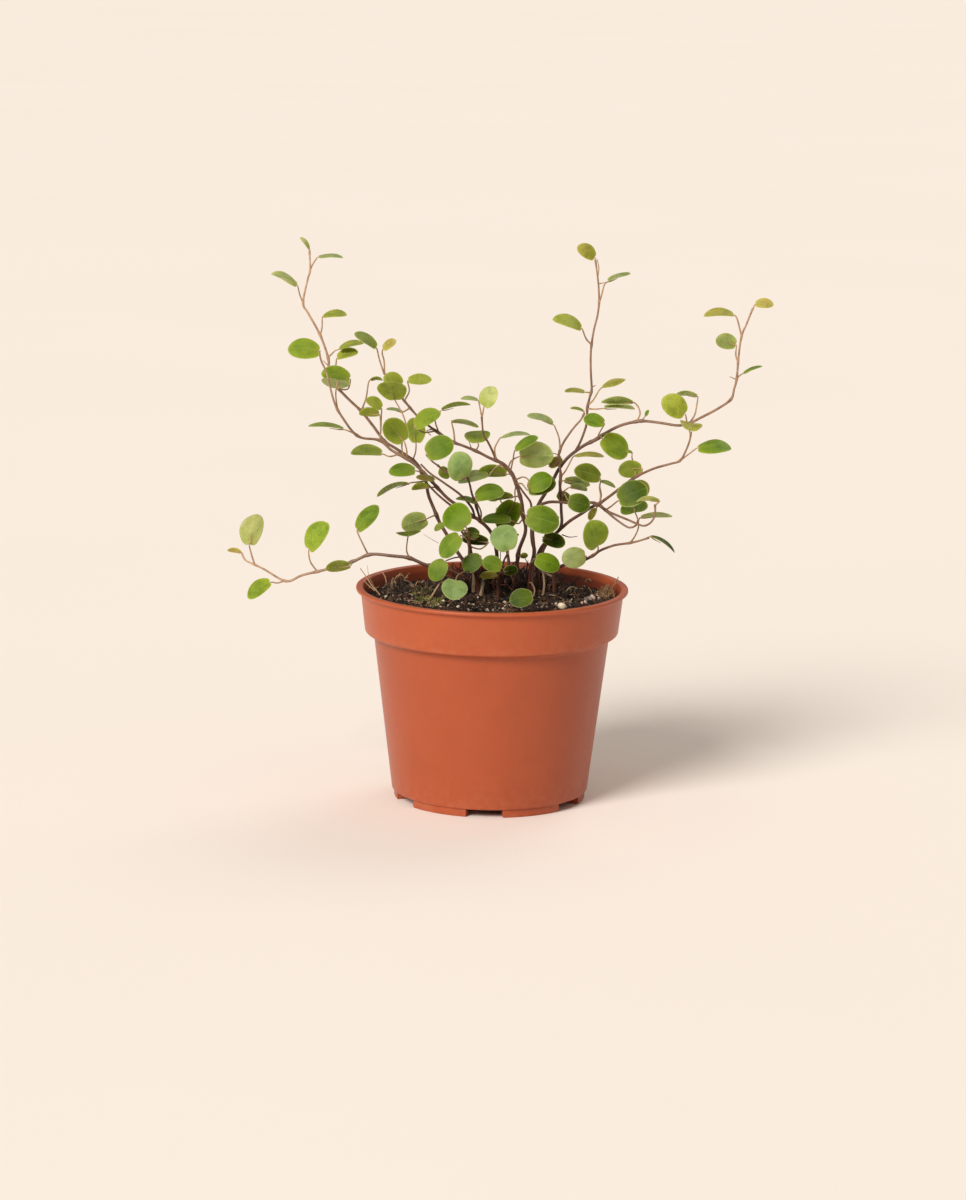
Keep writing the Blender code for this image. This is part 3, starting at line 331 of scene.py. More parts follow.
def softened(corners, steps=4):
    """The section's points as (radius, z). Each corner (radius, z, soft) becomes a curve, soft away from it."""
    section = [Vector(corners[0][:2])]
    for before, here, after in zip(corners, corners[1:], corners[2:]):
        corner = Vector(here[:2])
        back = (Vector(before[:2]) - corner).normalized()
        on = (Vector(after[:2]) - corner).normalized()
        start, end = corner + here[2] * back, corner + here[2] * on
        if (start - section[-1]).length > 3 * HOLD:
            section.append(start + HOLD * back)
        for step in range(steps + 1 if here[2] else 1):
            share = step / steps
            section.append(start.lerp(corner, share).lerp(corner.lerp(end, share), share))
        if (Vector(after[:2]) - end).length > 5 * HOLD:
            section.append(end + HOLD * on)
    return section + [Vector(corners[-1][:2])]


# %% Pull up a turned wall
POT_SIDES = 180


def turn_up(section):
    """A closed turned solid: a disc at the section's first point, its cap pulled through all the others."""
    first = section[0]
    bpy.ops.object.select_all(action="DESELECT")
    bpy.ops.mesh.primitive_circle_add(
        vertices=POT_SIDES, radius=first[0] * MM, fill_type="NGON", location=(0, 0, first[1] * MM)
    )
    piece = bpy.context.object
    bpy.ops.object.transform_apply(location=True, rotation=False, scale=False)
    open_for_edit(piece, "FACE")
    bpy.ops.mesh.select_all(action="SELECT")
    for before, here in zip(section, section[1:]):
        bpy.ops.mesh.extrude_region_move(TRANSFORM_OT_translate={"value": (0, 0, (here[1] - before[1]) * MM)})
        grow = here[0] / before[0]
        bpy.ops.transform.resize(value=(grow, grow, 1), center_override=(0, 0, here[1] * MM))
    bpy.ops.object.mode_set(mode="OBJECT")
    return piece


# %% Turn the pot
FLOOR_BOTTOM = 2.0
FOOT_INNER_RADIUS = 21.6
FOOT_OUTER_RADIUS = 24.0
pot = turn_up(softened([
    (FOOT_INNER_RADIUS, FLOOR_BOTTOM),
    (FOOT_OUTER_RADIUS, FLOOR_BOTTOM, 0),
    (24.55, FLOOR_BOTTOM, 0.5),
    (29.5, 41.6, 0.6),
    (31.65, 42.3, 0.45),
    (32.85, 52.4, 0.5),
    (34.0, 52.65, 0.3),
    (34.0, 53.5, 0.4),
    (32.3, 53.5, 0.4),
    (31.0, 47.0, 0.4),
    (30.5, 43.3, 0.5),
    (28.3, 42.4, 0.5),
    (23.3, 3.2, 0.8),
    (20.0, 3.2),
]))
print("the pot has", len(pot.data.polygons), "faces before its feet")

# %% [markdown]
# ## Feet and drain holes
#
# Six short feet lift the pot off the table so that water can leave by the holes behind the gaps. The faces of
# the floor's outer ring that lie within a foot are selected by their angle and extruded down. The rim of each
# foot then gets a small bevel. The holes are rounded blocks, copied round the axis and cut away by one Boolean.

# %% Draw the feet down
FEET = 6
FIRST_FOOT_ANGLE = -62.5
FOOT_ANGLE = 38.0


def in_a_foot(middle):
    radius = math.hypot(middle.x, middle.y)
    if abs(middle.z - FLOOR_BOTTOM) > 0.01 or not FOOT_INNER_RADIUS < radius < FOOT_OUTER_RADIUS:
        return False
    turn = (math.degrees(math.atan2(middle.y, middle.x)) - FIRST_FOOT_ANGLE) % (360 / FEET)
    return min(turn, 360 / FEET - turn) < FOOT_ANGLE / 2


open_for_edit(pot, "FACE")
select_where(pot, "FACE", in_a_foot)
bpy.ops.mesh.extrude_region_move(TRANSFORM_OT_translate={"value": (0, 0, -FLOOR_BOTTOM * MM)})
bpy.ops.mesh.region_to_loop()
bpy.ops.mesh.bevel(offset=0.3 * MM, segments=2, affect="EDGES")
bpy.ops.mesh.select_all(action="SELECT")
bpy.ops.mesh.normals_make_consistent(inside=False)
bpy.ops.object.mode_set(mode="OBJECT")
print("the pot's lowest point in mm:", round(min(corner.co.z for corner in pot.data.vertices) / MM, 3))


# %% Cut the drain holes
DRAIN_RADIUS = 18.0
bpy.ops.object.select_all(action="DESELECT")
bpy.ops.mesh.primitive_cube_add(size=MM, scale=(7.0, 5.0, 5.0), location=(DRAIN_RADIUS * MM, 0, 2.6 * MM))
cutter = bpy.context.object
bpy.ops.object.transform_apply(location=True, rotation=True, scale=True)
open_for_edit(cutter, "EDGE")
select_where(cutter, "EDGE", lambda middle: abs(middle.z - 2.6) < 0.1)
bpy.ops.mesh.bevel(offset=1.6 * MM, segments=5, affect="EDGES")
bpy.ops.object.mode_set(mode="OBJECT")
cutters = []
for foot in range(FEET):
    copy = cutter.copy()
    copy.data = cutter.data.copy()
    bpy.context.collection.objects.link(copy)
    angle = math.radians(FIRST_FOOT_ANGLE + 360 / FEET * (foot + 0.5))
    copy.data.transform(Matrix.Rotation(angle, 4, "Z"))
    cutters.append(copy)
bpy.ops.object.select_all(action="DESELECT")
for copy in cutters:
    copy.select_set(True)
bpy.context.view_layer.objects.active = cutters[0]
bpy.ops.object.join()
apply_modifier(pot, "BOOLEAN", operation="DIFFERENCE", object=cutters[0], solver="EXACT")
bpy.data.objects.remove(cutters[0])
bpy.data.objects.remove(cutter)
hand_over(pot, "nursery_pot", terracotta, "pot_plastic", "pot")

# %% [markdown]
# ## The soil's finish
#
# Potting mix is nearly black with brown and reddish flecks, and it is rough at every size. The big lumps are
# real geometry. The finish adds flecks of two browns, a wet-to-dry change in roughness, and a deep bump.

# %% Mix the soil
earth, tree, shader, place = new_finish("potting_mix", 0.92, 0.3)
dark_earth = use_group(
    tree, patches, Place=place, Patch_Size=1.6, Amount=0.8, Main=colour(24, 17, 13), Patch=colour(58, 40, 28)
)
flecked = use_group(
    tree, patches, Place=place, Patch_Size=0.5, Amount=0.5, Main=dark_earth["Color"], Patch=colour(98, 66, 45)
)
feed(tree, shader.inputs["Base Color"], flecked["Color"])
surface = use_group(tree, grain, Place=place, Grain_Size=0.45, Roughness=0.9, Spread=0.2)
feed(tree, shader.inputs["Roughness"], surface["Roughness"])
bump(tree, shader, surface["Height"], 0.5)
print("finish:", earth.name)

# %% [markdown]
# ## The soil
#
# The soil fills the pot to a few millimetres below the lip, a little higher in the middle and at the front. It
# is turned up like the pot. Its cap is then inset ring by ring, which gives the top enough points, and each
# point is raised by a height that adds a low mound, a slope, a few crossing waves and two sizes of noise. All
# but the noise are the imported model's own, so roots and stems stand where the model has them.

# %% The soil's height
SOIL_RADIUS = 31.7
SOIL_EDGE_HEIGHT = 50.4
SOIL_RISE = 0.8
SOIL_SLOPE = 0.035
SOIL_LUMP = 0.45
SOIL_WAVES = ((0.55, 0.30, 0.0), (-0.37, 0.41, 1.3), (0.80, -0.70, 0.5))
MOUND_RADIUS = 31.65


def soil_height(x, y):
    out = min(math.hypot(x, y) / MOUND_RADIUS, 1.0)
    lumps = sum(math.sin(across * x + along * y + start) for across, along, start in SOIL_WAVES)
    mound = SOIL_RISE * (1 - out**2) - SOIL_SLOPE * y + SOIL_LUMP * lumps * (1 - out**6)
    rough = 0.9 * noise.noise(Vector((x, y, 3.0)) * 0.42) + 0.6 * noise.noise(Vector((x, y, 7.0)) * 1.1)
    return SOIL_EDGE_HEIGHT + mound + 0.7 * rough


# %% Fill the pot
SOIL_RINGS = 40
soil = turn_up([Vector(point) for point in ((23.0, 3.3), (28.1, 42.4), (30.4, 43.4), (SOIL_RADIUS, SOIL_EDGE_HEIGHT))])
open_for_edit(soil, "FACE")
select_where(soil, "FACE", lambda middle: middle.z > SOIL_EDGE_HEIGHT - 0.01)
for ring in range(SOIL_RINGS):
    bpy.ops.mesh.inset(thickness=SOIL_RADIUS / (SOIL_RINGS + 1) * MM, depth=0)
bpy.ops.mesh.poke()
bpy.ops.object.mode_set(mode="OBJECT")
for corner in soil.data.vertices:
    if corner.co.z > (SOIL_EDGE_HEIGHT - 0.01) * MM:
        corner.co.z = soil_height(corner.co.x / MM, corner.co.y / MM) * MM
hand_over(soil, "potting_mix", earth, "soil", "soil")

# %% [markdown]
# ## Where a thing lies
#
# The places of leaves and roots were read off the picture, as across and up on the upright plane through the
# pot's axis. A thing nearer to the eye, or further off, is moved along its line of sight, so that it still
# shows at the same point. For a thing on the soil that line is followed until it meets the soil.

# %% Lines of sight
EYE_ACROSS, EYE_IN_FRONT, EYE_UP = EYE.x / MM, -EYE.y / MM, EYE.z / MM


def seen(across, up, depth):
    """The place, in millimetres, at this depth behind the axis that shows at this point of the plane."""
    grow = 1 + depth / EYE_IN_FRONT
    return Vector((EYE_ACROSS + (across - EYE_ACROSS) * grow, depth, EYE_UP + (up - EYE_UP) * grow))


def on_soil(across, up, above=0.0):
    """The first place on this line of sight that lies on the soil, raised by this much."""
    for tenth in range(-310, 310):
        place = seen(across, up, tenth / 10)
        if math.hypot(place.x, place.y) < SOIL_RADIUS and place.z <= soil_height(place.x, place.y):
            break
    place.z = soil_height(place.x, place.y) + above
    return place


print("the middle of the soil shows from", [round(value, 1) for value in on_soil(0, 50)])

# %% [markdown]
# ## Many copies in one mesh
#
# Crumbs, grit, moss and leaves are each modelled once and then repeated. Separate objects would be slow in
# their hundreds, so this helper writes all copies into one mesh. Each copy has its own points, placed by its
# own function, and its own tint, kept in a colour attribute that the finish reads. A tint is a pair: the
# colour of the model's upper half and of its lower half.

# %% Copy a model many times
def copies(model, places, tints):
    """One object with a copy of the model for each place, a function from the model's points to the world."""
    points = [corner.co.copy() for corner in model.data.vertices]
    faces = [list(face.vertices) for face in model.data.polygons]
    uv = [list(corner.uv) for corner in model.data.uv_layers.active.data]
    all_points = []
    all_faces = []
    all_tints = []
    for place, (upper, lower) in zip(places, tints):
        first = len(all_points)
        all_points += [place(point) * MM for point in points]
        all_faces += [[first + corner for corner in face] for face in faces]
        for point in points:
            all_tints += upper if point.z >= 0 else lower
    mesh = bpy.data.meshes.new(model.name)
    mesh.from_pydata(all_points, [], all_faces)
    mesh.uv_layers.new(name="UVMap").data.foreach_set("uv", sum(uv, []) * len(places))
    mesh.color_attributes.new("tint", "FLOAT_COLOR", "POINT").data.foreach_set("color", all_tints)
    piece = bpy.data.objects.new(model.name, mesh)
    bpy.context.collection.objects.link(piece)
    return piece


def turned_copy(place, size, turn):
    """A place function: the model scaled by size, turned by the angles in turn, and moved to the place."""
    matrix = Matrix.LocRotScale(place, turn, size)
    return matrix.__matmul__


# %% [markdown]
# ## Loose bits in the soil
#
# The mix is made of crumbs, with grit and small stones here and there. One crumb is an icosphere with its
# points shaken, one stone a finer and smoother one. Hundreds of copies, each turned and squashed in its own
# way, lie on the soil, and every eighth crumb is pressed into a flake. A fixed seed keeps them in the same
# places on every run.

# %% Finish for loose bits
loose, tree, shader, place = new_finish("loose_bits", 0.85, 0.35)
tint = add_node(tree, "Attribute")
tint.attribute_name = "tint"
faded = blend(tree, 0.55, tint.outputs["Color"], colour(30, 22, 17), "MULTIPLY")
spotted = use_group(
    tree, patches, Place=place, Patch_Size=0.5, Amount=0.6, Main=tint.outputs["Color"], Patch=faded
)
feed(tree, shader.inputs["Base Color"], spotted["Color"])
surface = use_group(tree, grain, Place=place, Grain_Size=0.2, Roughness=0.82, Spread=0.2)
feed(tree, shader.inputs["Roughness"], surface["Roughness"])
bump(tree, shader, surface["Height"], 0.12)
print("finish:", loose.name)


# %% Model a crumb and a stone
def shaken_ball(name, subdivisions, shake, seed):
    bpy.ops.object.select_all(action="DESELECT")
    bpy.ops.mesh.primitive_ico_sphere_add(subdivisions=subdivisions, radius=1, calc_uvs=True)
    ball = bpy.context.object
    ball.name = name
    open_for_edit(ball, "VERT")
    bpy.ops.mesh.select_all(action="SELECT")
    bpy.ops.transform.vertex_random(offset=shake, seed=seed)
    bpy.ops.object.mode_set(mode="OBJECT")
    return ball


crumb = shaken_ball("crumb", 1, 0.28, 4)
stone = shaken_ball("stone", 2, 0.07, 9)
print("a crumb has", len(crumb.data.polygons), "faces, a stone", len(stone.data.polygons))


# %% Scatter the crumbs
def random_turn(chance):
    return Quaternion((chance.gauss(0, 1), chance.gauss(0, 1), chance.gauss(0, 1), chance.gauss(0, 1))).normalized()


def random_size(chance, small, large):
    size = small + (large - small) * chance.random() ** 2.2
    return Vector((size, size * chance.uniform(0.6, 1.0), size * chance.uniform(0.45, 0.8)))


def place_on_soil(chance, rim=SOIL_RADIUS - 0.3):
    radius = rim * math.sqrt(chance.random())
    angle = chance.uniform(0, 2 * math.pi)
    x, y = radius * math.cos(angle), radius * math.sin(angle)
    return Vector((x, y, soil_height(x, y)))


CRUMB_TINTS = [
    colour(14, 10, 8), colour(22, 16, 12), colour(30, 21, 16), colour(40, 28, 21), colour(54, 37, 26),
    colour(74, 50, 35), colour(108, 76, 52),
]
FLAKE = Vector((1.6, 1.0, 0.22))
chance = random.Random(31)
crumb_places = []
crumb_tints = []
for number in range(3000):
    spot = place_on_soil(chance)
    size = random_size(chance, 0.2, 0.9)
    if number % 8 == 0:
        size = size * FLAKE
    crumb_places.append(turned_copy(spot, size, random_turn(chance)))
    crumb_tints.append([chance.choice(CRUMB_TINTS)] * 2)
crumbs = copies(crumb, crumb_places, crumb_tints)
hand_over(crumbs, "soil_crumbs", loose, "soil", "soil")

# %% [markdown]
# ## Grit and pebbles
#
# Pale grit shows among the crumbs, most of it along the front, and a few larger pieces can be picked out one
# by one: a cream pebble on the right, and a long pinkish chunk behind it, made of three. The named ones are
# placed by their lines of sight and the rest by chance. The soil's front edge shows as a shallow curve.

# %% Scatter the grit
GRIT_TINTS = [colour(214, 203, 188), colour(190, 172, 152), colour(205, 170, 150), colour(150, 132, 112)]
PEBBLES = [
    (17.6, 48.2, 1.45, colour(248, 230, 196)), (26.0, 51.0, 0.9, colour(232, 204, 188)),
    (25.2, 50.7, 0.95, colour(206, 176, 160)), (24.4, 50.4, 0.95, colour(160, 138, 124)),
    (23.6, 50.1, 0.9, colour(120, 104, 94)), (-8.5, 47.9, 0.6, colour(226, 208, 190)),
    (-6.0, 47.2, 0.55, colour(214, 190, 170)), (-1.0, 47.2, 0.5, colour(226, 208, 190)),
    (2.8, 47.6, 0.55, colour(220, 190, 172)), (3.2, 49.3, 0.6, colour(206, 180, 158)),
    (-3.5, 50.5, 0.45, colour(226, 214, 196)), (-26.5, 50.4, 0.5, colour(222, 196, 178)),
    (-24.6, 50.6, 0.5, colour(212, 186, 170)), (-12.2, 49.4, 0.5, colour(228, 216, 196)),
]
FRONT_EDGE = 47.2
FRONT_CURVE = 0.0042
grit_places = []
grit_tints = []
for across, up, size, tint_colour in PEBBLES:
    scale = Vector((size, size * 0.8, size * 0.65))
    grit_places.append(turned_copy(on_soil(across, up, 0.25 * size), scale, random_turn(chance)))
    grit_tints.append([tint_colour] * 2)
for number in range(110):
    spot = place_on_soil(chance)
    grit_places.append(turned_copy(spot, random_size(chance, 0.18, 0.5), random_turn(chance)))
    grit_tints.append([chance.choice(GRIT_TINTS)] * 2)
for number in range(90):
    across = chance.uniform(-25, 27)
    up = FRONT_EDGE + FRONT_CURVE * across**2 + abs(chance.gauss(0, 0.7))
    spot = on_soil(across, up, 0.1)
    grit_places.append(turned_copy(spot, random_size(chance, 0.2, 0.55), random_turn(chance)))
    grit_tints.append([chance.choice(GRIT_TINTS)] * 2)
grit = copies(stone, grit_places, grit_tints)
hand_over(grit, "soil_grit", loose, "soil", "soil")

# %% [markdown]
# ## Strands
#
# Stems, leaf stalks, roots and fibres are all thin strands that bend softly. A curve with a round bevel is the
# natural tool: each route is a spline, with a radius at every point, and one conversion makes the mesh. The
# route's few points are first joined by a smooth curve that passes through all of them.

# %% Make strands
def smooth_route(points, spacing):
    """More points along a smooth curve through these ones."""
    ends = [2 * points[0] - points[1]] + list(points) + [2 * points[-1] - points[-2]]
    route = []
    for before, start, end, after in zip(ends, ends[1:], ends[2:], ends[3:]):
        steps = max(1, round((end - start).length / spacing))
        for step in range(steps):
            t = step / steps
            bend = 2 * before - 5 * start + 4 * end - after
            swing = 3 * start - 3 * end + after - before
            route.append((2 * start + (end - before) * t + bend * t**2 + swing * t**3) / 2)
    return route + [points[-1]]


def tapering(count, first, last):
    return [first + (last - first) * index / max(count - 1, 1) for index in range(count)]


def strands(name, routes, roundness):
    """One mesh of strands. Each route is its points and their radii, in millimetres."""
    curve = bpy.data.curves.new(name, "CURVE")
    curve.dimensions = "3D"
    curve.bevel_depth = MM
    curve.bevel_resolution = roundness
    curve.use_fill_caps = True
    for points, radii in routes:
        spline = curve.splines.new("POLY")
        spline.points.add(len(points) - 1)
        for knot, point, radius in zip(spline.points, points, radii):
            knot.co = (*(point * MM), 1)
            knot.radius = radius
    thread = bpy.data.objects.new(name, curve)
    bpy.context.collection.objects.link(thread)
    pick(thread)
    bpy.ops.object.convert(target="MESH")
    return bpy.context.object


# %% [markdown]
# ## Fibres and roots
#
# Fibres of three colours lie all over the mix. Two heaps of them stand up from it: a dark, hairy one on the
# left and a tan one against the wall on the right. They are drawn by chance: each starts somewhere and wanders.
# The roots and stalks that the picture shows have their own routes.

# %% Finishes for fibres and roots
def strand_finish(name, main, patch, roughness):
    finish, tree, shader, place = new_finish(name, roughness, 0.35)
    mixed = use_group(tree, patches, Place=place, Patch_Size=1.2, Amount=0.9, Main=main, Patch=patch)
    feed(tree, shader.inputs["Base Color"], mixed["Color"])
    surface = use_group(tree, grain, Place=place, Grain_Size=0.25, Roughness=roughness, Spread=0.2)
    feed(tree, shader.inputs["Roughness"], surface["Roughness"])
    bump(tree, shader, surface["Height"], 0.06)
    return finish


reddish = strand_finish("reddish_fibre", colour(112, 70, 45), colour(66, 42, 30), 0.8)
straw = strand_finish("straw_fibre", colour(186, 150, 112), colour(128, 92, 64), 0.7)
dark_hair = strand_finish("dark_hair", colour(46, 36, 30), colour(84, 66, 52), 0.6)
root_finish = strand_finish("pale_root", colour(168, 144, 112), colour(118, 92, 66), 0.65)
print("finishes:", reddish.name, straw.name, dark_hair.name, root_finish.name)

# %% Lay the fibres
def no_heap(x, y):
    return 0.4


def heap(middle_x, middle_y, reach, rise):
    """How high the strands of a heap may lie above the soil, by their place."""
    def height(x, y):
        off = math.hypot(x - middle_x, y - middle_y) / reach
        return 0.3 + rise * max(0.0, 1 - off**2)
    return height


def wander(chance, spot, stride, turn, height):
    """A route of up to six points that starts at the spot and lies up to this height above the soil."""
    heading = chance.uniform(0, 2 * math.pi)
    route = []
    for step in range(6):
        x, y = spot.x, spot.y
        if math.hypot(x, y) > SOIL_RADIUS - 0.6:
            break
        route.append(Vector((x, y, soil_height(x, y) + height(x, y) * chance.random())))
        heading += chance.gauss(0, turn)
        length = chance.uniform(0.4, 1.0) * stride
        spot = spot + Vector((math.cos(heading), math.sin(heading), 0)) * length
    return route


def fibre_routes(number, thick, stride, turn, height, middle=(0, 0), reach=29.8):
    """Routes and radii for this many strands that start within reach of the middle."""
    made = []
    for strand in range(number):
        off, angle = reach * math.sqrt(chance.random()), chance.uniform(0, 2 * math.pi)
        spot = Vector((middle[0] + off * math.cos(angle), middle[1] + off * math.sin(angle), 0))
        route = wander(chance, spot, stride, turn, height)
        if len(route) > 2:
            smooth = smooth_route(route, 0.6)
            thickness = thick * chance.uniform(0.5, 1.0)
            made.append((smooth, tapering(len(smooth), thickness, thickness * 0.5)))
    return made


DARK_HEAP, DARK_REACH = (-23.0, 6.5), 6.4
TAN_HEAP, TAN_REACH = (28.6, 3.0), 3.2
reddish_routes = fibre_routes(200, 0.13, 1.4, 0.5, no_heap)
straw_routes = fibre_routes(150, 0.10, 1.3, 0.4, no_heap)
straw_routes += fibre_routes(26, 0.11, 1.1, 1.2, heap(*DARK_HEAP, DARK_REACH, 3.6), DARK_HEAP, DARK_REACH)
straw_routes += fibre_routes(80, 0.09, 0.9, 1.1, heap(*TAN_HEAP, TAN_REACH, 3.6), TAN_HEAP, TAN_REACH)
dark_routes = fibre_routes(240, 0.10, 1.0, 1.1, heap(*DARK_HEAP, DARK_REACH, 2.6), DARK_HEAP, DARK_REACH)
dark_routes += fibre_routes(70, 0.09, 1.2, 0.8, no_heap)
hand_over(strands("fibres", reddish_routes, 0), "soil_fibres", reddish, "soil", "soil")
hand_over(strands("straws", straw_routes, 0), "straw_fibres", straw, "soil", "soil")
hand_over(strands("hairs", dark_routes, 0), "dark_hairs", dark_hair, "soil", "soil")

# %% Pale roots and dry stalks
LYING_ABOVE = 0.18


def routed(rows, spacing=0.7):
    """Strand routes from rows of (points, first radius, last radius). A point without a depth lies on the soil."""
    made = []
    for places, first, last in rows:
        points = [seen(*place) if len(place) == 3 else on_soil(*place, LYING_ABOVE) for place in places]
        route = smooth_route(points, spacing)
        made.append((route, tapering(len(route), first, last)))
    return made


PALE_ROOTS = [
    ([(9.4, 57.0, 2.0), (9.2, 54.5, 0.5), (9.3, 52.2, -0.5), (9.2, 51.0, -0.8)], 0.24, 0.32),
    ([(12.6, 57.2, 2.4), (13.0, 54.5, 1.2), (12.8, 51.8, 0.6), (12.8, 50.8, 0.6)], 0.24, 0.30),
    ([(-2.0, 56.0, 1.0), (-2.4, 53.8, -0.4), (-2.8, 51.8, -1.4), (-2.9, 51.0, -1.6)], 0.40, 0.62),
    ([(-4.6, 57.4, 0.0), (-4.5, 55.6, -0.5), (-4.7, 53.6, -0.6), (-4.6, 52.0, -0.6)], 0.42, 0.50),
    ([(1.4, 55.2, 1.0), (1.6, 53.6, -0.4), (1.5, 51.8, -1.0)], 0.18, 0.24),
    ([(10.0, 57.9, 6.0), (11.6, 57.7, 5.0), (13.2, 57.0, 4.5), (15.5, 56.0, 5.0)], 0.20, 0.26),
    ([(18.6, 52.6, 8.0), (19.6, 53.6, 8.6), (21.0, 53.4, 9.2), (21.3, 52.4, 9.4), (20.2, 51.8, 9.6)], 0.22, 0.16),
    ([(14.3, 51.3), (15.6, 51.2), (17.0, 50.6), (18.0, 50.0)], 0.13, 0.17),
    ([(23.2, 55.0, 14.0), (23.6, 55.7, 14.0), (24.3, 55.7, 13.8), (24.7, 55.2, 13.4)], 0.10, 0.07),
    ([(-22.0, 49.9), (-20.6, 49.5), (-19.2, 49.3), (-17.8, 48.8)], 0.13, 0.09),
    ([(-21.2, 49.4), (-19.8, 48.9), (-18.4, 48.6)], 0.10, 0.07),
]
DRY_STALKS = [
    ([(-33.0, 57.6, 5.0), (-31.4, 55.4, 4.0), (-30.0, 53.2, 2.0), (-28.0, 50.9, 0.2)], 0.11, 0.15),
    ([(-31.2, 58.4, 8.0), (-30.9, 56.0, 7.0), (-29.6, 53.2, 4.0), (-28.0, 51.0, 1.5)], 0.06, 0.10),
    ([(-32.8, 54.2, 3.5), (-32.2, 54.6, 4.0), (-31.2, 53.6, 3.4), (-29.4, 52.0, 2.0)], 0.08, 0.12),
    ([(-30.8, 52.6, 4.0), (-30.0, 53.4, 5.0), (-29.0, 52.6, 6.0), (-28.2, 53.2, 7.0)], 0.12, 0.08),
    ([(-10.4, 58.6, -5.5), (-12.2, 55.6, -7.5), (-14.2, 52.3, -10.0), (-16.2, 48.8, -12.4), (-16.6, 48.0, -13.0)], 0.17, 0.24),
    ([(31.5, 56.4, 6.0), (30.8, 54.8, 5.4), (29.6, 53.2, 4.6), (28.8, 51.8, 3.4)], 0.12, 0.16),
    ([(30.5, 55.0, 5.4), (31.0, 55.5, 5.2), (31.3, 54.9, 5.0)], 0.09, 0.05),
    ([(-17.3, 66.6, 6.0), (-16.2, 65.8, 6.4), (-14.8, 65.0, 7.0), (-13.5, 64.3, 7.4)], 0.05, 0.08),
    ([(-27.4, 56.6, 10.0), (-26.8, 55.6, 9.0), (-26.4, 54.0, 8.0)], 0.10, 0.16),
    ([(-24.4, 54.6, 9.0), (-23.8, 55.8, 9.5), (-22.6, 56.0, 10.0), (-21.8, 55.2, 10.5), (-21.0, 55.6, 11.0)], 0.16, 0.10),
    ([(-22.4, 54.4, 8.0), (-21.6, 55.6, 9.0), (-20.6, 56.6, 10.0)], 0.14, 0.08),
    ([(-19.2, 53.4, 9.0), (-18.6, 54.6, 10.0), (-17.8, 54.2, 10.5), (-17.0, 54.8, 11.0)], 0.12, 0.08),
    ([(24.0, 53.6, 9.0), (24.8, 52.6, 8.0), (25.2, 51.6, 7.0)], 0.09, 0.14),
]
DARK_TWIGS = [
    ([(-11.0, 57.6, 4.0), (-9.4, 56.9, 4.4), (-7.6, 56.2, 5.0), (-5.6, 55.0, 6.0)], 0.30, 0.36),
    ([(-12.0, 56.2, 3.0), (-9.8, 55.6, 3.6), (-7.0, 54.0, 4.4)], 0.18, 0.24),
    ([(16.4, 55.6, 6.0), (15.0, 54.6, 5.0), (14.3, 53.4, 4.4), (14.3, 51.6, 4.0)], 0.24, 0.18),
    ([(4.6, 56.4, 1.0), (5.4, 54.4, 0.0), (5.2, 51.6, -0.6)], 0.20, 0.28),
    ([(-1.0, 54.6, 0.0), (1.0, 53.8, -1.0), (3.6, 53.9, -1.6), (5.0, 52.6, -2.0)], 0.14, 0.18),
]
pale_roots = strands("roots", routed(PALE_ROOTS), 1)
hand_over(pale_roots, "pale_roots", root_finish, "soil", "soil")
dry_stalks = strands("stalks", routed(DRY_STALKS), 1)
hand_over(dry_stalks, "dry_stalks", straw, "soil", "soil")
hand_over(strands("twigs", routed(DARK_TWIGS), 1), "dark_twigs", reddish, "soil", "soil")

# %% [markdown]
# ## Dead shoots
#
# A plant like this keeps its old, bare shoots. They stand in a dark tangle round the foot of the living stems and
# hide the wall behind them. Each one leans out of the mix by chance, bends once, and thins towards its tip.

# %% Tangle the dead shoots
SHOOTS_MIDDLE = (1.5, 7.0)
SHOOTS_REACH = (14.5, 8.0)
TALLEST_SHOOT = 10.5


def dead_shoot(chance):
    """The route and radii of one bare shoot. The outer ones are shorter."""
    off, angle = math.sqrt(chance.random()), chance.uniform(0, 2 * math.pi)
    x = SHOOTS_MIDDLE[0] + SHOOTS_REACH[0] * off * math.cos(angle)
    y = SHOOTS_MIDDLE[1] + SHOOTS_REACH[1] * off * math.sin(angle)
    rise = TALLEST_SHOOT * chance.uniform(0.45, 1.0) * (1.1 - 0.55 * off)
    foot = Vector((x, y, soil_height(x, y) - 0.4))
    tip = foot + Vector((chance.gauss(0, 2.4), chance.gauss(0, 2.0), rise + 0.4))
    bend = (foot + tip) / 2 + Vector((chance.gauss(0, 0.7), chance.gauss(0, 0.7), 0))
    route = smooth_route([foot, bend, tip], 0.8)
    radius = chance.uniform(0.16, 0.34)
    return route, tapering(len(route), radius, radius * 0.45)


dead_wood = strand_finish("dead_wood", colour(50, 30, 22), colour(30, 19, 14), 0.7)
shoots_chance = random.Random(23)
dead_shoots = strands("dead_shoots", [dead_shoot(shoots_chance) for shoot in range(130)], 1)
hand_over(dead_shoots, "dead_shoots", dead_wood, "soil", "soil")

# %% [markdown]
# ## Moss
#
# A cushion of moss grows on the left of the soil. One shoot is a thin cone whose tip is pushed over, so that
# it looks like a small bent leaf. A few hundred copies lean outwards in tufts. Their tints run from a dull
# olive to a fresh green.

# %% Grow the moss
bpy.ops.object.select_all(action="DESELECT")
bpy.ops.mesh.primitive_cone_add(vertices=5, radius1=0.2, depth=1.0, location=(0, 0, 0.5), calc_uvs=True)
shoot = bpy.context.object
shoot.name = "moss_shoot"
bpy.ops.object.transform_apply(location=True, rotation=True, scale=True)
open_for_edit(shoot, "VERT")
for corner in bmesh.from_edit_mesh(shoot.data).verts:
    corner.select_set(corner.co.z > 0.9)
bpy.ops.transform.translate(value=(0.22, 0, -0.1))
bpy.ops.mesh.select_all(action="SELECT")
bpy.ops.mesh.subdivide(number_cuts=1)
bpy.ops.object.mode_set(mode="OBJECT")

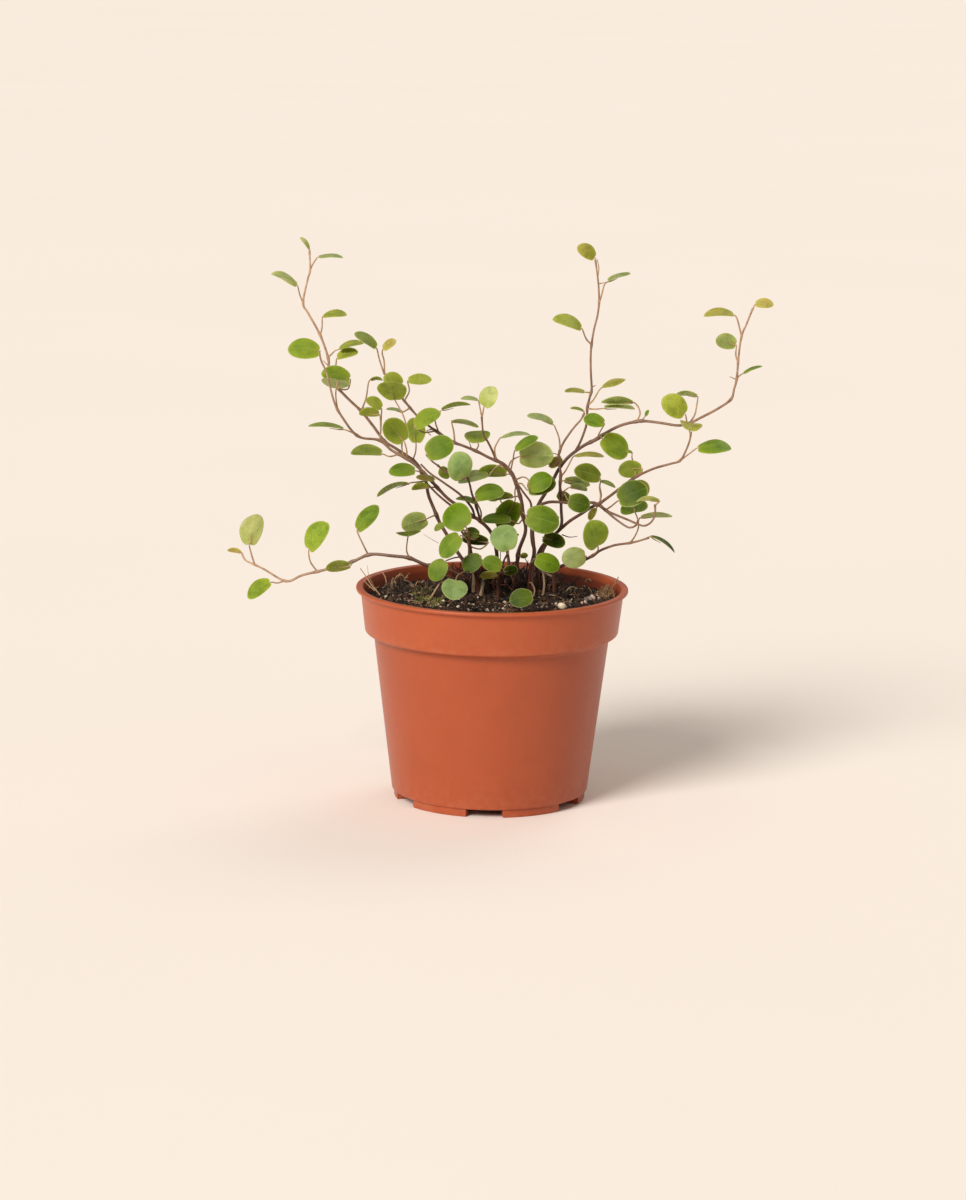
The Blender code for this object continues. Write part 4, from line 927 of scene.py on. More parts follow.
MOSS_TINTS = [colour(128, 122, 58), colour(104, 100, 48), colour(148, 140, 76), colour(84, 82, 40)]
MOSS_SPOTS = [(-17.8, 51.4), (-16.6, 50.2), (-14.6, 49.0), (-16.8, 52.0), (-13.4, 49.8), (-17.6, 49.6)]
moss_places = []
moss_tints = []
for tuft in range(64):
    across, up = chance.choice(MOSS_SPOTS)
    middle = on_soil(across + chance.gauss(0, 1.1), up + chance.gauss(0, 0.35))
    for leaf in range(9):
        lean = Quaternion((chance.gauss(0, 1), chance.gauss(0, 1), 0), math.radians(chance.uniform(10, 65)))
        spin = Quaternion((0, 0, 1), chance.uniform(0, 2 * math.pi))
        size = chance.uniform(0.5, 1.15)
        spot = middle + Vector((chance.gauss(0, 0.35), chance.gauss(0, 0.35), chance.uniform(-0.2, 0.1)))
        moss_places.append(turned_copy(spot, Vector((size, size, size)), lean @ spin))
        moss_tints.append([chance.choice(MOSS_TINTS)] * 2)
moss = copies(shoot, moss_places, moss_tints)
hand_over(moss, "moss", loose, "soil", "soil")
for model in (crumb, stone, shoot):
    bpy.data.objects.remove(model)

# %% [markdown]
# ## The plant's plan
#
# Each leafy stem has the place where it stands in the soil, its shoots, and its leaves. The first shoot is the
# stem itself. A leaf has the place on a shoot where its stalk starts, the places that the stalk passes, the
# blade's base and tip, its width as seen, the face that shows, the way its tip leans, and its tint. These are
# the imported model's own places. They were chosen one by one along the picture's stems, because a plant's growth
# has a cause for every bend but no formula.

# %% The leafy stems
TOP, UNDER = 1, -1
NEAR, FAR = 1, -1
LEAFY_STEMS = {
    "stem_low_left": {
        "root": (-7.5, 5.0),
        "shoots": [
            [
                (-8.2, 55.5, 5.0), (-11.0, 57.6, 5.0), (-16.5, 58.7, 5.5), (-20.7, 60.4, 6.0),
                (-25.0, 60.9, 6.5), (-30.5, 61.2, 7.5), (-35.0, 59.3, 8.5), (-41.6, 57.2, 10.0),
                (-47.4, 55.7, 11.5), (-51.5, 54.1, 12.5), (-56.9, 57.0, 13.5), (-59.4, 58.2, 14.0),
                (-61.7, 59.3, 14.5), (-62.5, 60.8, 15.0),
            ],
        ],
        "leaves": [
            ((-62.4, 60.6), [], (-62.6, 61.2, 15.0), (-66.2, 61.8), 1.3, UNDER, NEAR, "young", 0.6),
            (
                (-59.4, 58.3), [(-60.1, 60.5, 13.5)],
                (-60.7, 63.0, 13.0), (-58.8, 71.0), 5.8, UNDER, NEAR, "pale",
            ),
            (
                (-51.8, 54.3), [(-53.6, 53.6, 12.0)],
                (-55.2, 53.8, 11.5), (-61.0, 49.7), 3.8, TOP, NEAR, "fresh",
            ),
            (
                (-43.8, 56.7), [(-45.5, 59.2, 9.5)],
                (-45.9, 62.0, 9.0), (-41.0, 68.9), 5.2, TOP, NEAR, "fresh",
            ),
            ((-35.0, 59.3), [], (-35.4, 58.3, 6.5), (-41.6, 57.2), 2.9, UNDER, NEAR, "olive"),
            ((-31.0, 61.0), [(-32.4, 63.8, 7.0)], (-33.9, 67.2, 6.5), (-28.4, 73.3), 4.1, TOP, NEAR, "mid"),
            (
                (-20.7, 60.4), [(-21.5, 62.5, 6.0)],
                (-21.05, 66.6, 6.0), (-20.95, 66.05), 6.4, TOP, NEAR, "dull",
            ),
        ],
    },
    "stem_tall_left": {
        "root": (-4.0, 8.0),
        "shoots": [
            [
                (-5.0, 56.5, 8.5), (-7.2, 59.8, 9.0), (-9.7, 63.5, 9.5), (-11.8, 67.0, 10.0),
                (-13.3, 69.5, 10.5), (-14.8, 73.0, 11.0), (-16.2, 76.5, 11.5), (-16.9, 80.0, 12.0),
                (-18.7, 83.7, 12.5), (-21.3, 86.0, 13.0), (-24.5, 88.1, 13.5), (-27.3, 89.9, 14.0),
                (-30.0, 93.5, 14.5), (-33.1, 97.3, 15.0), (-36.5, 100.5, 15.5), (-39.3, 103.6, 16.0),
                (-41.1, 107.3, 16.5), (-41.3, 110.3, 17.0), (-43.3, 116.0, 17.5), (-46.4, 121.6, 18.0),
                (-47.6, 124.0, 18.0), (-46.5, 129.8, 18.5), (-45.9, 132.2, 18.5), (-46.1, 137.0, 19.0),
            ],
        ],
        "leaves": [
            ((-46.1, 136.6), [], (-46.1, 137.3, 19.0), (-48.4, 140.2), 1.1, TOP, NEAR, "pale_yellow", 0.6),
            (
                (-45.9, 132.2), [(-45.2, 133.7, 18.5)],
                (-44.0, 135.4, 18.0), (-37.8, 135.3), 1.0, TOP, NEAR, "grey",
            ),
            (
                (-47.6, 124.0), [(-48.4, 126.0, 18.0)],
                (-49.0, 128.3, 18.0), (-55.3, 131.4), 2.0, TOP, NEAR, "pale_yellow",
            ),
            (
                (-43.3, 116.2), [(-42.9, 118.0, 17.0)],
                (-42.8, 120.7, 17.0), (-36.8, 121.3), 1.9, TOP, NEAR, "yellow_green",
            ),
            (
                (-41.4, 110.5), [(-39.6, 112.3, 16.5)],
                (-38.8, 112.6, 16.5), (-32.6, 114.2), 1.6, TOP, NEAR, "yellow_green",
            ),
            (
                (-41.1, 107.3), [(-39.6, 108.2, 16.0)],
                (-39.2, 110.4, 15.5), (-33.9, 111.9), 2.5, TOP, NEAR, "yellow_green",
            ),
            (
                (-38.5, 102.7), [(-36.4, 102.8, 14.0)],
                (-35.8, 105.2, 13.0), (-43.0, 106.6), 4.3, TOP, FAR, "fresh",
            ),
            (
                (-33.1, 97.3), [(-31.9, 100.5, 15.5), (-31.4, 104.0, 16.0)],
                (-31.0, 105.1, 16.0), (-27.8, 105.1), 0.9, UNDER, NEAR, "olive",
            ),
            (
                (-20.2, 85.1), [(-19.5, 87.2, 14.0)],
                (-19.4, 89.3, 14.8), (-20.2, 95.8), 4.8, UNDER, FAR, "olive",
            ),
            (
                (-14.1, 71.4), [(-14.9, 71.2, 8.5)],
                (-16.4, 70.5, 7.5), (-22.7, 68.2), 5.1, UNDER, NEAR, "grey",
            ),
        ],
    },
    "stem_inner_left": {
        "root": (0.5, 9.5),
        "shoots": [
            [
                (0.9, 56.0, 9.5), (1.0, 62.0, 9.0), (-0.4, 67.0, 8.5), (-3.1, 70.0, 8.0), (-5.0, 71.2, 7.8),
                (-7.0, 72.8, 7.5), (-10.8, 75.2, 7.0), (-13.5, 77.8, 7.0), (-16.2, 80.8, 7.0),
                (-19.5, 84.0, 7.5), (-22.5, 86.0, 8.0), (-25.5, 87.6, 8.5), (-28.4, 90.0, 9.0),
                (-32.4, 90.5, 8.0), (-34.1, 91.2, 7.0), (-35.5, 92.5, 6.0), (-36.8, 94.3, 5.0),
                (-38.9, 97.5, 3.5), (-40.1, 100.5, 2.0), (-41.2, 104.9, 0.5), (-42.0, 107.5, 0.0),
                (-43.0, 109.6, -0.5), (-43.6, 112.0, -1.0),
            ],
            [
                (-3.1, 70.0, 8.0), (-4.4, 74.2, 5.5), (-5.4, 77.0, 3.5), (-6.0, 79.4, 2.0),
                (-6.8, 81.2, 1.5), (-9.5, 81.8, 2.0), (-12.5, 82.8, 2.5), (-14.0, 84.0, 2.5),
            ],
            [
                (-4.0, 70.6, 8.0), (-7.4, 71.7, 6.6), (-10.7, 74.0, 5.8), (-13.2, 76.0, 5.6),
                (-15.1, 77.8, 5.8), (-16.9, 79.8, 6.2), (-18.5, 82.6, 6.8),
            ],
            [
                (-4.6, 71.0, 7.8), (-5.4, 73.4, 5.4), (-8.1, 76.5, 4.4), (-12.4, 79.6, 4.2),
                (-15.8, 81.9, 4.8), (-18.2, 84.2, 5.6),
            ],
        ],
        "leaves": [
            ((-43.6, 112.0), [], (-43.3, 112.1, -1.5), (-51.3, 112.6), 5.2, TOP, NEAR, "fresh"),
            (
                (-38.9, 97.5), [(-39.4, 101.5, 2.5)],
                (-38.9, 104.8, 2.0), (-40.0, 102.6), 7.0, UNDER, FAR, "grey",
            ),
            (
                (-34.1, 91.2), [(-35.6, 92.0, 6.5)],
                (-37.2, 92.6, 6.5), (-46.2, 93.2), 1.2, TOP, NEAR, "olive",
            ),
            (
                (-23.6, 86.6), [(-25.9, 86.0, 6.9)],
                (-27.6, 86.6, 6.5), (-35.6, 86.6), 2.9, TOP, NEAR, "olive",
            ),
            ((-17.4, 82.0), [], (-19.4, 82.5, 5.1), (-26.1, 82.2), 3.5, TOP, NEAR, "mid"),
            (
                (-15.6, 80.2), [(-18.0, 79.8, 6.0)],
                (-20.9, 79.4, 5.5), (-29.0, 76.0), 1.4, UNDER, NEAR, "olive",
            ),
            ((-14.0, 78.4), [], (-15.9, 78.4, 5.5), (-20.4, 77.8), 1.8, UNDER, NEAR, "yellow_green"),
            ((-15.6, 80.2), [], (-14.6, 80.4, 4.0), (-19.3, 81.0), 1.7, TOP, NEAR, "brown"),
            (
                (-28.4, 90.0), [(-28.2, 92.0, 8.5), (-28.1, 95.5, 8.0)],
                (-28.0, 98.0, 7.5), (-31.9, 100.2), 2.9, TOP, NEAR, "yellow_green",
            ),
            (
                (-28.4, 90.0), [(-28.2, 93.0, 8.2)],
                (-28.5, 96.6, 7.0), (-33.6, 96.6), 2.4, UNDER, NEAR, "yellow_green",
            ),
            (
                (-21.7, 85.5), [(-21.7, 87.5, 6.5)],
                (-22.3, 89.7, 5.5), (-26.8, 95.2), 6.1, UNDER, FAR, "dull",
            ),
            (
                (-22.3, 85.9),
                [(-22.9, 88.0, 7.0), (-22.7, 90.4, 7.5), (-21.7, 92.6, 7.5), (-22.6, 96.2, 7.5)],
                (-24.6, 99.9, 7.5), (-26.5, 104.6), 6.9, UNDER, NEAR, "olive",
            ),
            ((-3.1, 70.2), [(-3.1, 72.5, 6.0)], (-4.7, 76.0, 2.7), (2.6, 77.6), 4.2, TOP, NEAR, "mid"),
            (
                (-14.0, 84.0), [(-15.2, 84.8, 1.5)],
                (-16.9, 86.6, 0.5), (-10.2, 89.9), 6.0, TOP, FAR, "bright",
            ),
            ((-6.8, 81.2), [], (-7.6, 80.6, -1.5), (-9.7, 87.2), 6.6, TOP, NEAR, "misty"),
            ((-9.5, 81.8), [], (-11.2, 82.2, 4.5), (-13.8, 81.8), 3.4, UNDER, FAR, "dull"),
            ((-4.2, 73.6), [], (-3.9, 74.4, 4.2), (-9.4, 75.4), 1.3, TOP, NEAR, "dull"),
        ],
    },
    "stem_arching_left": {
        "root": (5.5, 6.0),
        "shoots": [
            [
                (5.8, 56.0, 6.0), (6.2, 60.0, 6.0), (6.6, 63.0, 6.0), (8.0, 67.0, 6.0), (8.0, 69.5, 6.0),
                (7.3, 72.0, 6.0), (7.2, 74.2, 6.0), (6.5, 76.8, 6.3), (5.6, 79.6, 6.8), (4.6, 81.9, 7.3),
                (3.0, 83.8, 7.8), (1.4, 85.0, 8.0), (-1.1, 86.0, 8.3), (-4.3, 87.6, 8.8),
                (-8.1, 89.1, 9.5), (-9.8, 89.7, 9.8), (-13.8, 92.1, 10.5), (-16.5, 94.0, 11.0),
                (-19.2, 96.3, 11.5), (-22.4, 100.0, 12.0), (-24.9, 103.0, 12.5), (-27.5, 106.9, 13.0),
            ],
            [
                (8.0, 68.5, 6.0), (9.2, 71.5, 4.8), (9.4, 74.4, 4.6), (8.7, 75.8, 4.8), (7.6, 77.2, 5.3),
                (6.3, 79.0, 6.0), (5.4, 80.3, 7.0),
            ],
            [
                (0.6, 85.4, 8.0), (-0.7, 88.3, 7.5), (-1.7, 90.2, 7.0), (-2.7, 91.8, 6.5), (-3.0, 94.0, 6.0),
                (-3.2, 96.3, 6.0),
            ],
        ],
        "leaves": [
            (
                (-27.5, 106.7), [(-28.6, 110.0, 12.5)],
                (-29.4, 113.1, 12.0), (-34.9, 116.6), 2.6, TOP, NEAR, "olive",
            ),
            (
                (-27.4, 106.7), [(-27.5, 109.8, 13.3), (-28.0, 111.8, 13.6)],
                (-27.8, 112.8, 13.6), (-24.6, 115.1), 2.3, TOP, NEAR, "young",
            ),
            (
                (-24.0, 102.0), [(-22.9, 102.6, 11.0)],
                (-23.0, 103.9, 9.5), (-27.6, 106.0), 4.4, TOP, NEAR, "yellow_green",
            ),
            ((-20.9, 98.3), [], (-22.7, 97.2, 10.5), (-26.9, 97.8), 0.8, TOP, NEAR, "grey"),
            (
                (-22.4, 100.0), [(-21.2, 102.5, 11.5)],
                (-21.7, 105.0, 11.0), (-15.7, 105.2), 2.8, TOP, NEAR, "yellow_green",
            ),
            (
                (-14.5, 92.6), [(-17.5, 92.2, 9.5)],
                (-19.9, 93.5, 9.3), (-13.5, 97.3), 4.1, TOP, NEAR, "fresh",
            ),
            (
                (-13.8, 92.1), [(-14.7, 95.4, 10.5)],
                (-13.3, 97.7, 10.5), (-6.0, 99.1), 1.1, UNDER, NEAR, "olive",
            ),
            (
                (-9.8, 89.7), [(-10.1, 92.5, 9.6)],
                (-10.7, 95.2, 9.4), (-3.9, 93.9), 1.3, UNDER, NEAR, "grey",
            ),
            ((-4.6, 87.7), [(-3.9, 89.0, 10.0)], (-4.0, 89.4, 11.0), (-4.3, 92.6), 6.6, TOP, FAR, "olive"),
            (
                (-3.2, 96.3), [(-3.6, 98.2, 6.0)],
                (-4.1, 100.4, 6.0), (-8.5, 100.7), 1.1, TOP, NEAR, "grey",
            ),
            (
                (-3.2, 96.2), [(-2.9, 97.4, 5.7)],
                (-2.7, 98.8, 5.5), (0.1, 103.7), 4.5, TOP, NEAR, "pale_yellow",
            ),
            (
                (0.6, 85.4), [(0.1, 88.0, 6.5), (0.6, 89.6, 6.0)],
                (1.6, 91.2, 6.0), (8.9, 92.1), 1.1, TOP, NEAR, "grey",
            ),
            ((4.6, 81.9), [], (3.4, 82.0, 9.8), (-4.0, 82.2), 3.2, UNDER, NEAR, "olive"),
            ((2.6, 84.1), [(0.8, 84.0, 7.5)], (-1.2, 81.6, 7.7), (-8.8, 79.6), 2.8, TOP, NEAR, "grey"),
            ((3.5, 83.2), [(4.2, 85.2, 6.0)], (6.1, 86.4, 2.5), (14.7, 86.8), 6.7, UNDER, NEAR, "grey"),
            ((4.1, 82.6), [(4.7, 85.6, 4.5)], (5.1, 88.0, 1.5), (10.8, 91.4), 2.4, TOP, NEAR, "mid"),
            (
                (5.3, 80.5), [(7.2, 81.3, 4.0), (8.6, 80.6, 2.0)],
                (8.9, 78.6, 0.5), (14.3, 81.5), 4.9, TOP, NEAR, "bright",
            ),
            ((5.6, 79.6), [(7.0, 79.6, 5.0)], (8.4, 78.0, 3.2), (15.4, 80.2), 5.4, TOP, FAR, "deep"),
            ((5.6, 79.4), [(5.3, 77.5, 7.4)], (5.4, 75.4, 7.4), (2.0, 67.8), 6.2, UNDER, FAR, "deep"),
            ((6.6, 76.5), [], (5.0, 76.3, 5.6), (-0.4, 75.6), 2.0, UNDER, NEAR, "olive"),
            ((7.6, 71.0), [(6.2, 69.5, 4.5)], (4.6, 70.3, 3.2), (-2.8, 70.2), 2.7, TOP, NEAR, "deep"),
            ((7.3, 72.2), [(7.4, 72.4, 2.5)], (8.0, 71.7, -1.0), (16.4, 69.4), 7.0, TOP, NEAR, "mid"),
            ((6.4, 61.5), [], (6.9, 61.2, 4.4), (8.8, 61.6), 1.5, UNDER, NEAR, "yellow_olive"),
        ],
    },
    "stem_tall_right": {
        "root": (9.0, 10.0),
        "shoots": [
            [
                (9.1, 56.5, 10.0), (9.8, 59.5, 10.0), (10.4, 62.5, 10.0), (9.9, 65.0, 10.0),
                (9.7, 68.0, 10.0), (10.3, 72.0, 10.0), (11.5, 75.0, 10.0), (13.0, 77.5, 10.0),
                (14.9, 81.0, 10.0), (16.0, 83.2, 10.0), (18.0, 86.0, 10.0), (20.0, 87.8, 10.0),
                (22.5, 89.6, 9.5), (25.2, 91.0, 9.0), (27.5, 92.6, 8.5), (31.0, 94.5, 8.0),
                (34.5, 95.5, 7.0), (37.0, 95.8, 6.5), (41.0, 95.4, 5.0), (45.5, 94.8, 3.5),
                (48.3, 95.4, 2.0), (51.0, 96.8, 1.0), (55.0, 99.0, -1.0), (58.4, 101.5, -3.0),
                (59.1, 104.0, -4.0), (59.7, 106.7, -4.5), (60.0, 112.0, -5.5), (60.6, 117.2, -6.5),
                (61.8, 120.4, -7.5), (63.2, 124.2, -8.0),
            ],
            [
                (20.0, 87.8, 10.0), (21.2, 90.0, 10.5), (22.3, 93.0, 11.0), (22.9, 95.5, 11.5),
                (22.9, 98.7, 12.0), (23.5, 101.7, 12.5), (23.9, 103.5, 13.0), (23.6, 108.0, 13.5),
                (23.5, 112.0, 14.0), (23.7, 115.0, 14.5), (24.2, 118.5, 15.0), (25.0, 122.0, 15.5),
                (25.3, 125.0, 15.5), (25.2, 128.0, 16.0), (24.9, 131.0, 16.0), (24.2, 135.6, 16.0),
            ],
        ],
        "leaves": [
            ((63.2, 124.0), [], (63.7, 125.2, -8.0), (68.3, 125.2), 2.5, TOP, NEAR, "young", 0.7),
            (
                (60.6, 117.2), [(60.0, 119.6, -7.0), (59.4, 121.6, -7.5)],
                (58.7, 122.5, -7.5), (51.2, 122.2), 2.1, TOP, NEAR, "yellow_olive",
            ),
            (
                (59.9, 110.8), [(59.3, 112.6, -5.0)],
                (59.4, 115.1, -4.0), (54.3, 116.4), 4.0, UNDER, NEAR, "grey",
            ),
            (
                (59.7, 106.7), [(60.4, 107.5, -4.5)],
                (61.2, 108.0, -4.5), (66.0, 109.9), 0.8, TOP, NEAR, "mid",
            ),
            (
                (48.3, 95.4), [(49.5, 97.4, 2.5), (49.9, 99.3, 3.0)],
                (50.2, 102.1, 3.5), (44.5, 102.3), 1.3, UNDER, NEAR, "grey",
            ),
            (
                (47.7, 95.2), [(47.5, 96.4, 1.0)],
                (47.2, 97.6, 0.0), (41.5, 101.6), 5.7, TOP, NEAR, "yellow_green",
            ),
            ((26.4, 91.8), [], (26.6, 91.4, 6.0), (32.9, 86.9), 6.0, TOP, NEAR, "fresh"),
            ((36.3, 95.8), [], (37.3, 97.0, 6.5), (38.1, 98.6), 0.9, TOP, NEAR, "mid", 0.6),
            (
                (35.2, 95.6), [(36.0, 97.6, 6.5), (35.4, 99.5, 6.5)],
                (34.4, 100.4, 6.5), (26.3, 100.4), 1.8, UNDER, NEAR, "grey",
            ),
            (
                (22.9, 98.7), [(25.0, 98.6, 10.0)],
                (26.9, 98.8, 8.5), (34.7, 98.5), 1.4, TOP, NEAR, "pale_yellow",
            ),
            ((25.6, 91.3), [(26.0, 92.6, 5.0)], (27.3, 95.0, 1.8), (22.0, 96.0), 3.5, TOP, NEAR, "mid"),
            ((24.2, 135.4), [], (24.1, 136.2, 16.0), (19.8, 139.0), 3.6, TOP, NEAR, "yellow_olive"),
            (
                (25.3, 125.0), [(25.9, 127.0, 15.0), (26.5, 129.5, 14.5)],
                (27.3, 130.3, 14.5), (33.0, 132.2), 1.1, TOP, NEAR, "grey",
            ),
            (
                (23.7, 114.6), [(22.3, 116.1, 13.5)],
                (21.2, 118.6, 12.0), (14.0, 121.0), 3.1, TOP, NEAR, "yellow_green",
            ),
            ((23.7, 102.7), [], (22.3, 102.8, 12.0), (17.2, 102.9), 1.3, TOP, NEAR, "yellow_olive"),
            (
                (23.1, 99.6), [(24.3, 100.8, 11.5), (25.6, 103.1, 11.0)],
                (26.4, 104.0, 11.0), (32.3, 106.0), 1.7, TOP, NEAR, "yellow_olive",
            ),
        ],
    },
    "stem_inner_right": {
        "root": (12.8, 8.0),
        "shoots": [
            [
                (12.6, 57.0, 8.0), (12.3, 62.0, 8.0), (13.8, 65.1, 8.0), (16.4, 68.0, 8.0),
                (17.1, 70.0, 7.8), (16.9, 73.0, 7.5), (16.8, 76.0, 7.0), (16.5, 79.0, 6.5),
                (16.6, 82.3, 6.0), (16.1, 85.0, 5.5), (16.1, 87.3, 5.5), (17.0, 89.8, 5.3),
                (18.6, 92.4, 5.0), (20.0, 94.3, 4.7), (21.3, 95.8, 4.6), (22.2, 97.5, 4.6),
            ],
        ],
        "leaves": [
            (
                (16.3, 88.0), [(16.1, 91.0, 5.0), (15.1, 93.7, 4.5)],
                (14.6, 94.6, 4.5), (8.0, 96.6), 1.8, TOP, NEAR, "grey",
            ),
            ((16.1, 85.2), [], (13.7, 84.0, 7.6), (16.9, 86.1), 2.6, UNDER, NEAR, "brown", 0.75),
            ((22.2, 97.4), [], (22.1, 98.1, 4.6), (18.7, 98.8), 0.8, TOP, NEAR, "olive", 0.6),
            (
                (16.7, 81.6), [(17.9, 83.2, 5.5)],
                (19.7, 86.7, 5.0), (27.3, 86.8), 1.3, TOP, NEAR, "yellow_olive",
            ),
            ((16.5, 80.2), [], (17.4, 80.6, 5.5), (23.9, 79.4), 2.4, UNDER, NEAR, "grey"),
            ((16.7, 77.2), [(18.0, 78.3, 6.4)], (18.9, 78.9, 6.0), (23.3, 78.1), 1.8, UNDER, NEAR, "grey"),
            (
                (16.8, 76.6), [(17.7, 77.2, 4.0), (18.0, 76.6, 0.0)],
                (18.5, 75.6, -3.2), (24.0, 74.1), 4.8, TOP, NEAR, "deep",
            ),
            ((16.7, 77.6), [], (16.0, 77.4, 8.5), (19.0, 75.0), 3.0, UNDER, FAR, "dull"),
        ],
    },
    "stem_branching_right": {
        "root": (11.6, 4.0),
        "shoots": [
            [
                (11.2, 57.5, 4.2), (11.0, 60.5, 4.2), (12.1, 63.5, 4.2), (13.6, 65.2, 4.0),
                (16.3, 67.8, 3.5), (19.0, 70.3, 2.0), (22.0, 72.3, 0.5), (24.5, 74.0, -1.0),
                (26.5, 75.0, -2.0), (29.8, 77.5, -3.0), (32.0, 79.3, -4.0), (34.6, 81.3, -5.5),
                (36.5, 82.4, -6.5), (40.0, 84.0, -8.5), (44.0, 85.2, -10.5), (46.2, 86.0, -11.5),
                (47.6, 88.6, -12.5), (48.5, 91.3, -13.0), (48.7, 93.2, -13.5),
            ],
        ],
        "leaves": [
            ((46.2, 86.0), [(48.0, 87.4, -12.0)], (50.3, 89.2, -12.0), (58.8, 89.6), 3.4, TOP, NEAR, "mid"),
            ((48.7, 93.0), [], (48.3, 93.3, -13.7), (48.7, 95.3), 5.7, TOP, FAR, "yellow_olive"),
            (
                (35.5, 81.9), [(36.7, 82.9, -5.0)],
                (36.8, 84.0, -4.5), (30.9, 83.3), 4.4, UNDER, FAR, "olive",
            ),
            ((34.6, 81.3), [], (35.0, 80.2, -4.6), (38.2, 76.9), 4.4, TOP, FAR, "yellow_olive"),
            ((13.9, 65.5), [], (12.4, 66.2, 1.6), (18.0, 64.4), 3.8, UNDER, NEAR, "dark"),
            (
                (26.4, 75.0), [(26.6, 77.0, -1.5), (26.3, 78.8, -1.0)],
                (26.6, 81.2, -1.0), (19.9, 83.2), 4.5, TOP, NEAR, "dull",
            ),
            (
                (26.4, 75.0), [(26.8, 77.0, -1.2), (26.4, 79.0, -0.4)],
                (26.6, 80.5, 0.2), (30.3, 79.0), 1.1, TOP, NEAR, "olive",
            ),
            (
                (35.4, 81.8), [(34.9, 84.4, -2.5), (34.2, 86.6, -3.0)],
                (34.3, 87.8, -3.0), (32.7, 88.2), 0.8, TOP, NEAR, "olive", 0.6,
            ),
        ],
    },
    "stem_hooked_right": {
        "root": (9.9, 0.6),
        "shoots": [
            [
                (10.0, 57.0, 1.0), (10.3, 62.5, 1.3), (10.1, 65.0, 1.5), (9.9, 68.0, 1.5),
                (10.6, 71.5, 2.0), (11.6, 74.1, 2.3), (12.8, 74.8, 2.5), (14.6, 75.15, 2.7),
                (18.3, 75.05, 3.0), (22.0, 75.05, 2.5), (24.5, 75.1, 2.0), (26.2, 74.6, 1.5),
                (28.0, 73.2, 0.5), (30.0, 72.3, -1.0), (32.0, 71.5, -2.5), (34.0, 70.7, -4.5),
                (35.6, 70.0, -6.0), (37.4, 69.4, -7.5), (38.8, 69.9, -9.0), (39.8, 71.0, -10.0),
                (40.3, 72.5, -10.5), (40.2, 74.8, -11.0),
            ],
            [
                (28.0, 73.2, 0.5), (29.5, 71.8, -0.5), (32.5, 69.6, -3.0), (34.1, 68.9, -4.0),
                (35.6, 69.5, -4.5), (36.1, 70.8, -5.0),
            ],
        ],
        "leaves": [
            (
                (28.0, 73.3), [(29.5, 74.4, -2.2), (30.4, 75.2, -5.9)],
                (31.0, 75.6, -7.7), (38.2, 79.0), 6.4, TOP, NEAR, "deep",
            ),
            ((40.2, 74.6), [], (41.4, 75.7, -11.2), (35.6, 75.5), 1.2, UNDER, NEAR, "pale_yellow"),
            ((36.1, 70.7), [], (36.5, 71.4, -5.0), (44.6, 71.7), 1.4, UNDER, NEAR, "grey"),
            ((26.2, 74.5), [], (25.6, 73.7, 0.6), (24.0, 70.6), 1.8, UNDER, NEAR, "yellow_olive", 0.6),
        ],
    },
    "stem_low_right": {
        "root": (15.5, 0.0),
        "shoots": [
            [
                (15.3, 56.5, 0.0), (16.5, 58.5, -0.8), (19.0, 59.6, -2.0), (22.5, 60.4, -4.0),
                (25.0, 61.7, -5.2), (27.0, 63.1, -6.5), (30.0, 64.3, -8.0), (32.0, 64.7, -9.0),
                (34.0, 65.0, -10.0), (36.5, 65.6, -11.5), (38.8, 66.4, -12.5),
            ],
        ],
        "leaves": [
            ((38.7, 66.4), [], (39.2, 66.8, -12.7), (45.4, 62.7), 0.9, TOP, NEAR, "deep"),
            ((25.0, 61.7), [(26.2, 63.0, -7.0)], (26.2, 64.0, -8.0), (23.8, 70.5), 6.8, TOP, NEAR, "fresh"),
            (
                (34.2, 65.0), [(35.4, 66.8, -7.0), (36.2, 69.0, -2.8), (36.0, 71.0, -1.5)],
                (35.3, 72.8, -1.0), (34.3, 76.6), 7.1, UNDER, FAR, "deep",
            ),
            ((22.4, 60.4), [(23.2, 60.9, -5.5)], (23.3, 61.6, -7.0), (17.3, 60.6), 5.3, TOP, NEAR, "grey"),
        ],
    },
    "stem_front_left": {
        "root": (-3.5, -1.5),
        "shoots": [
            [
                (-3.9, 55.0, -2.0), (-4.5, 58.5, -4.0), (-5.2, 61.5, -7.0), (-5.8, 64.5, -9.0),
                (-6.2, 67.3, -10.0),
            ],
        ],
        "leaves": [
            ((-6.2, 67.1), [], (-6.7, 68.4, -10.5), (-11.4, 73.5), 7.4, TOP, FAR, "bright"),
            ((-6.0, 65.8), [(-4.6, 65.4, -8.5)], (-3.3, 66.6, -7.5), (-7.2, 67.2), 2.6, TOP, FAR, "dull"),
            ((-5.6, 63.5), [(-3.0, 63.0, -7.5)], (-1.0, 64.7, -6.5), (-7.6, 65.2), 2.8, UNDER, FAR, "dark"),
            ((-5.6, 63.5), [(-6.8, 65.6, -9.5)], (-8.1, 66.3, -10.0), (-12.9, 60.9), 4.8, TOP, NEAR, "mid"),
            (
                (-6.2, 67.1), [(-9.0, 68.4, -8.0)],
                (-11.9, 69.2, -6.5), (-14.6, 67.5), 1.7, TOP, NEAR, "olive", 0.7,
            ),
            ((-4.8, 59.8), [(-8.5, 60.8, -7.5)], (-11.7, 59.8, -9.0), (-15.4, 55.0), 4.6, TOP, NEAR, "mid"),
            ((-5.0, 60.7), [(-3.8, 61.4, -8.0)], (-2.8, 61.0, -9.0), (-7.2, 57.6), 4.4, TOP, NEAR, "deep"),
            (
                (-4.2, 57.0), [(-6.6, 57.2, -12.0), (-8.6, 56.2, -21.0)],
                (-9.1, 55.0, -27.0), (-9.8, 49.8), 6.4, TOP, NEAR, "glaucous",
            ),
        ],
    },
    "stem_front_middle": {
        "root": (1.5, -3.5),
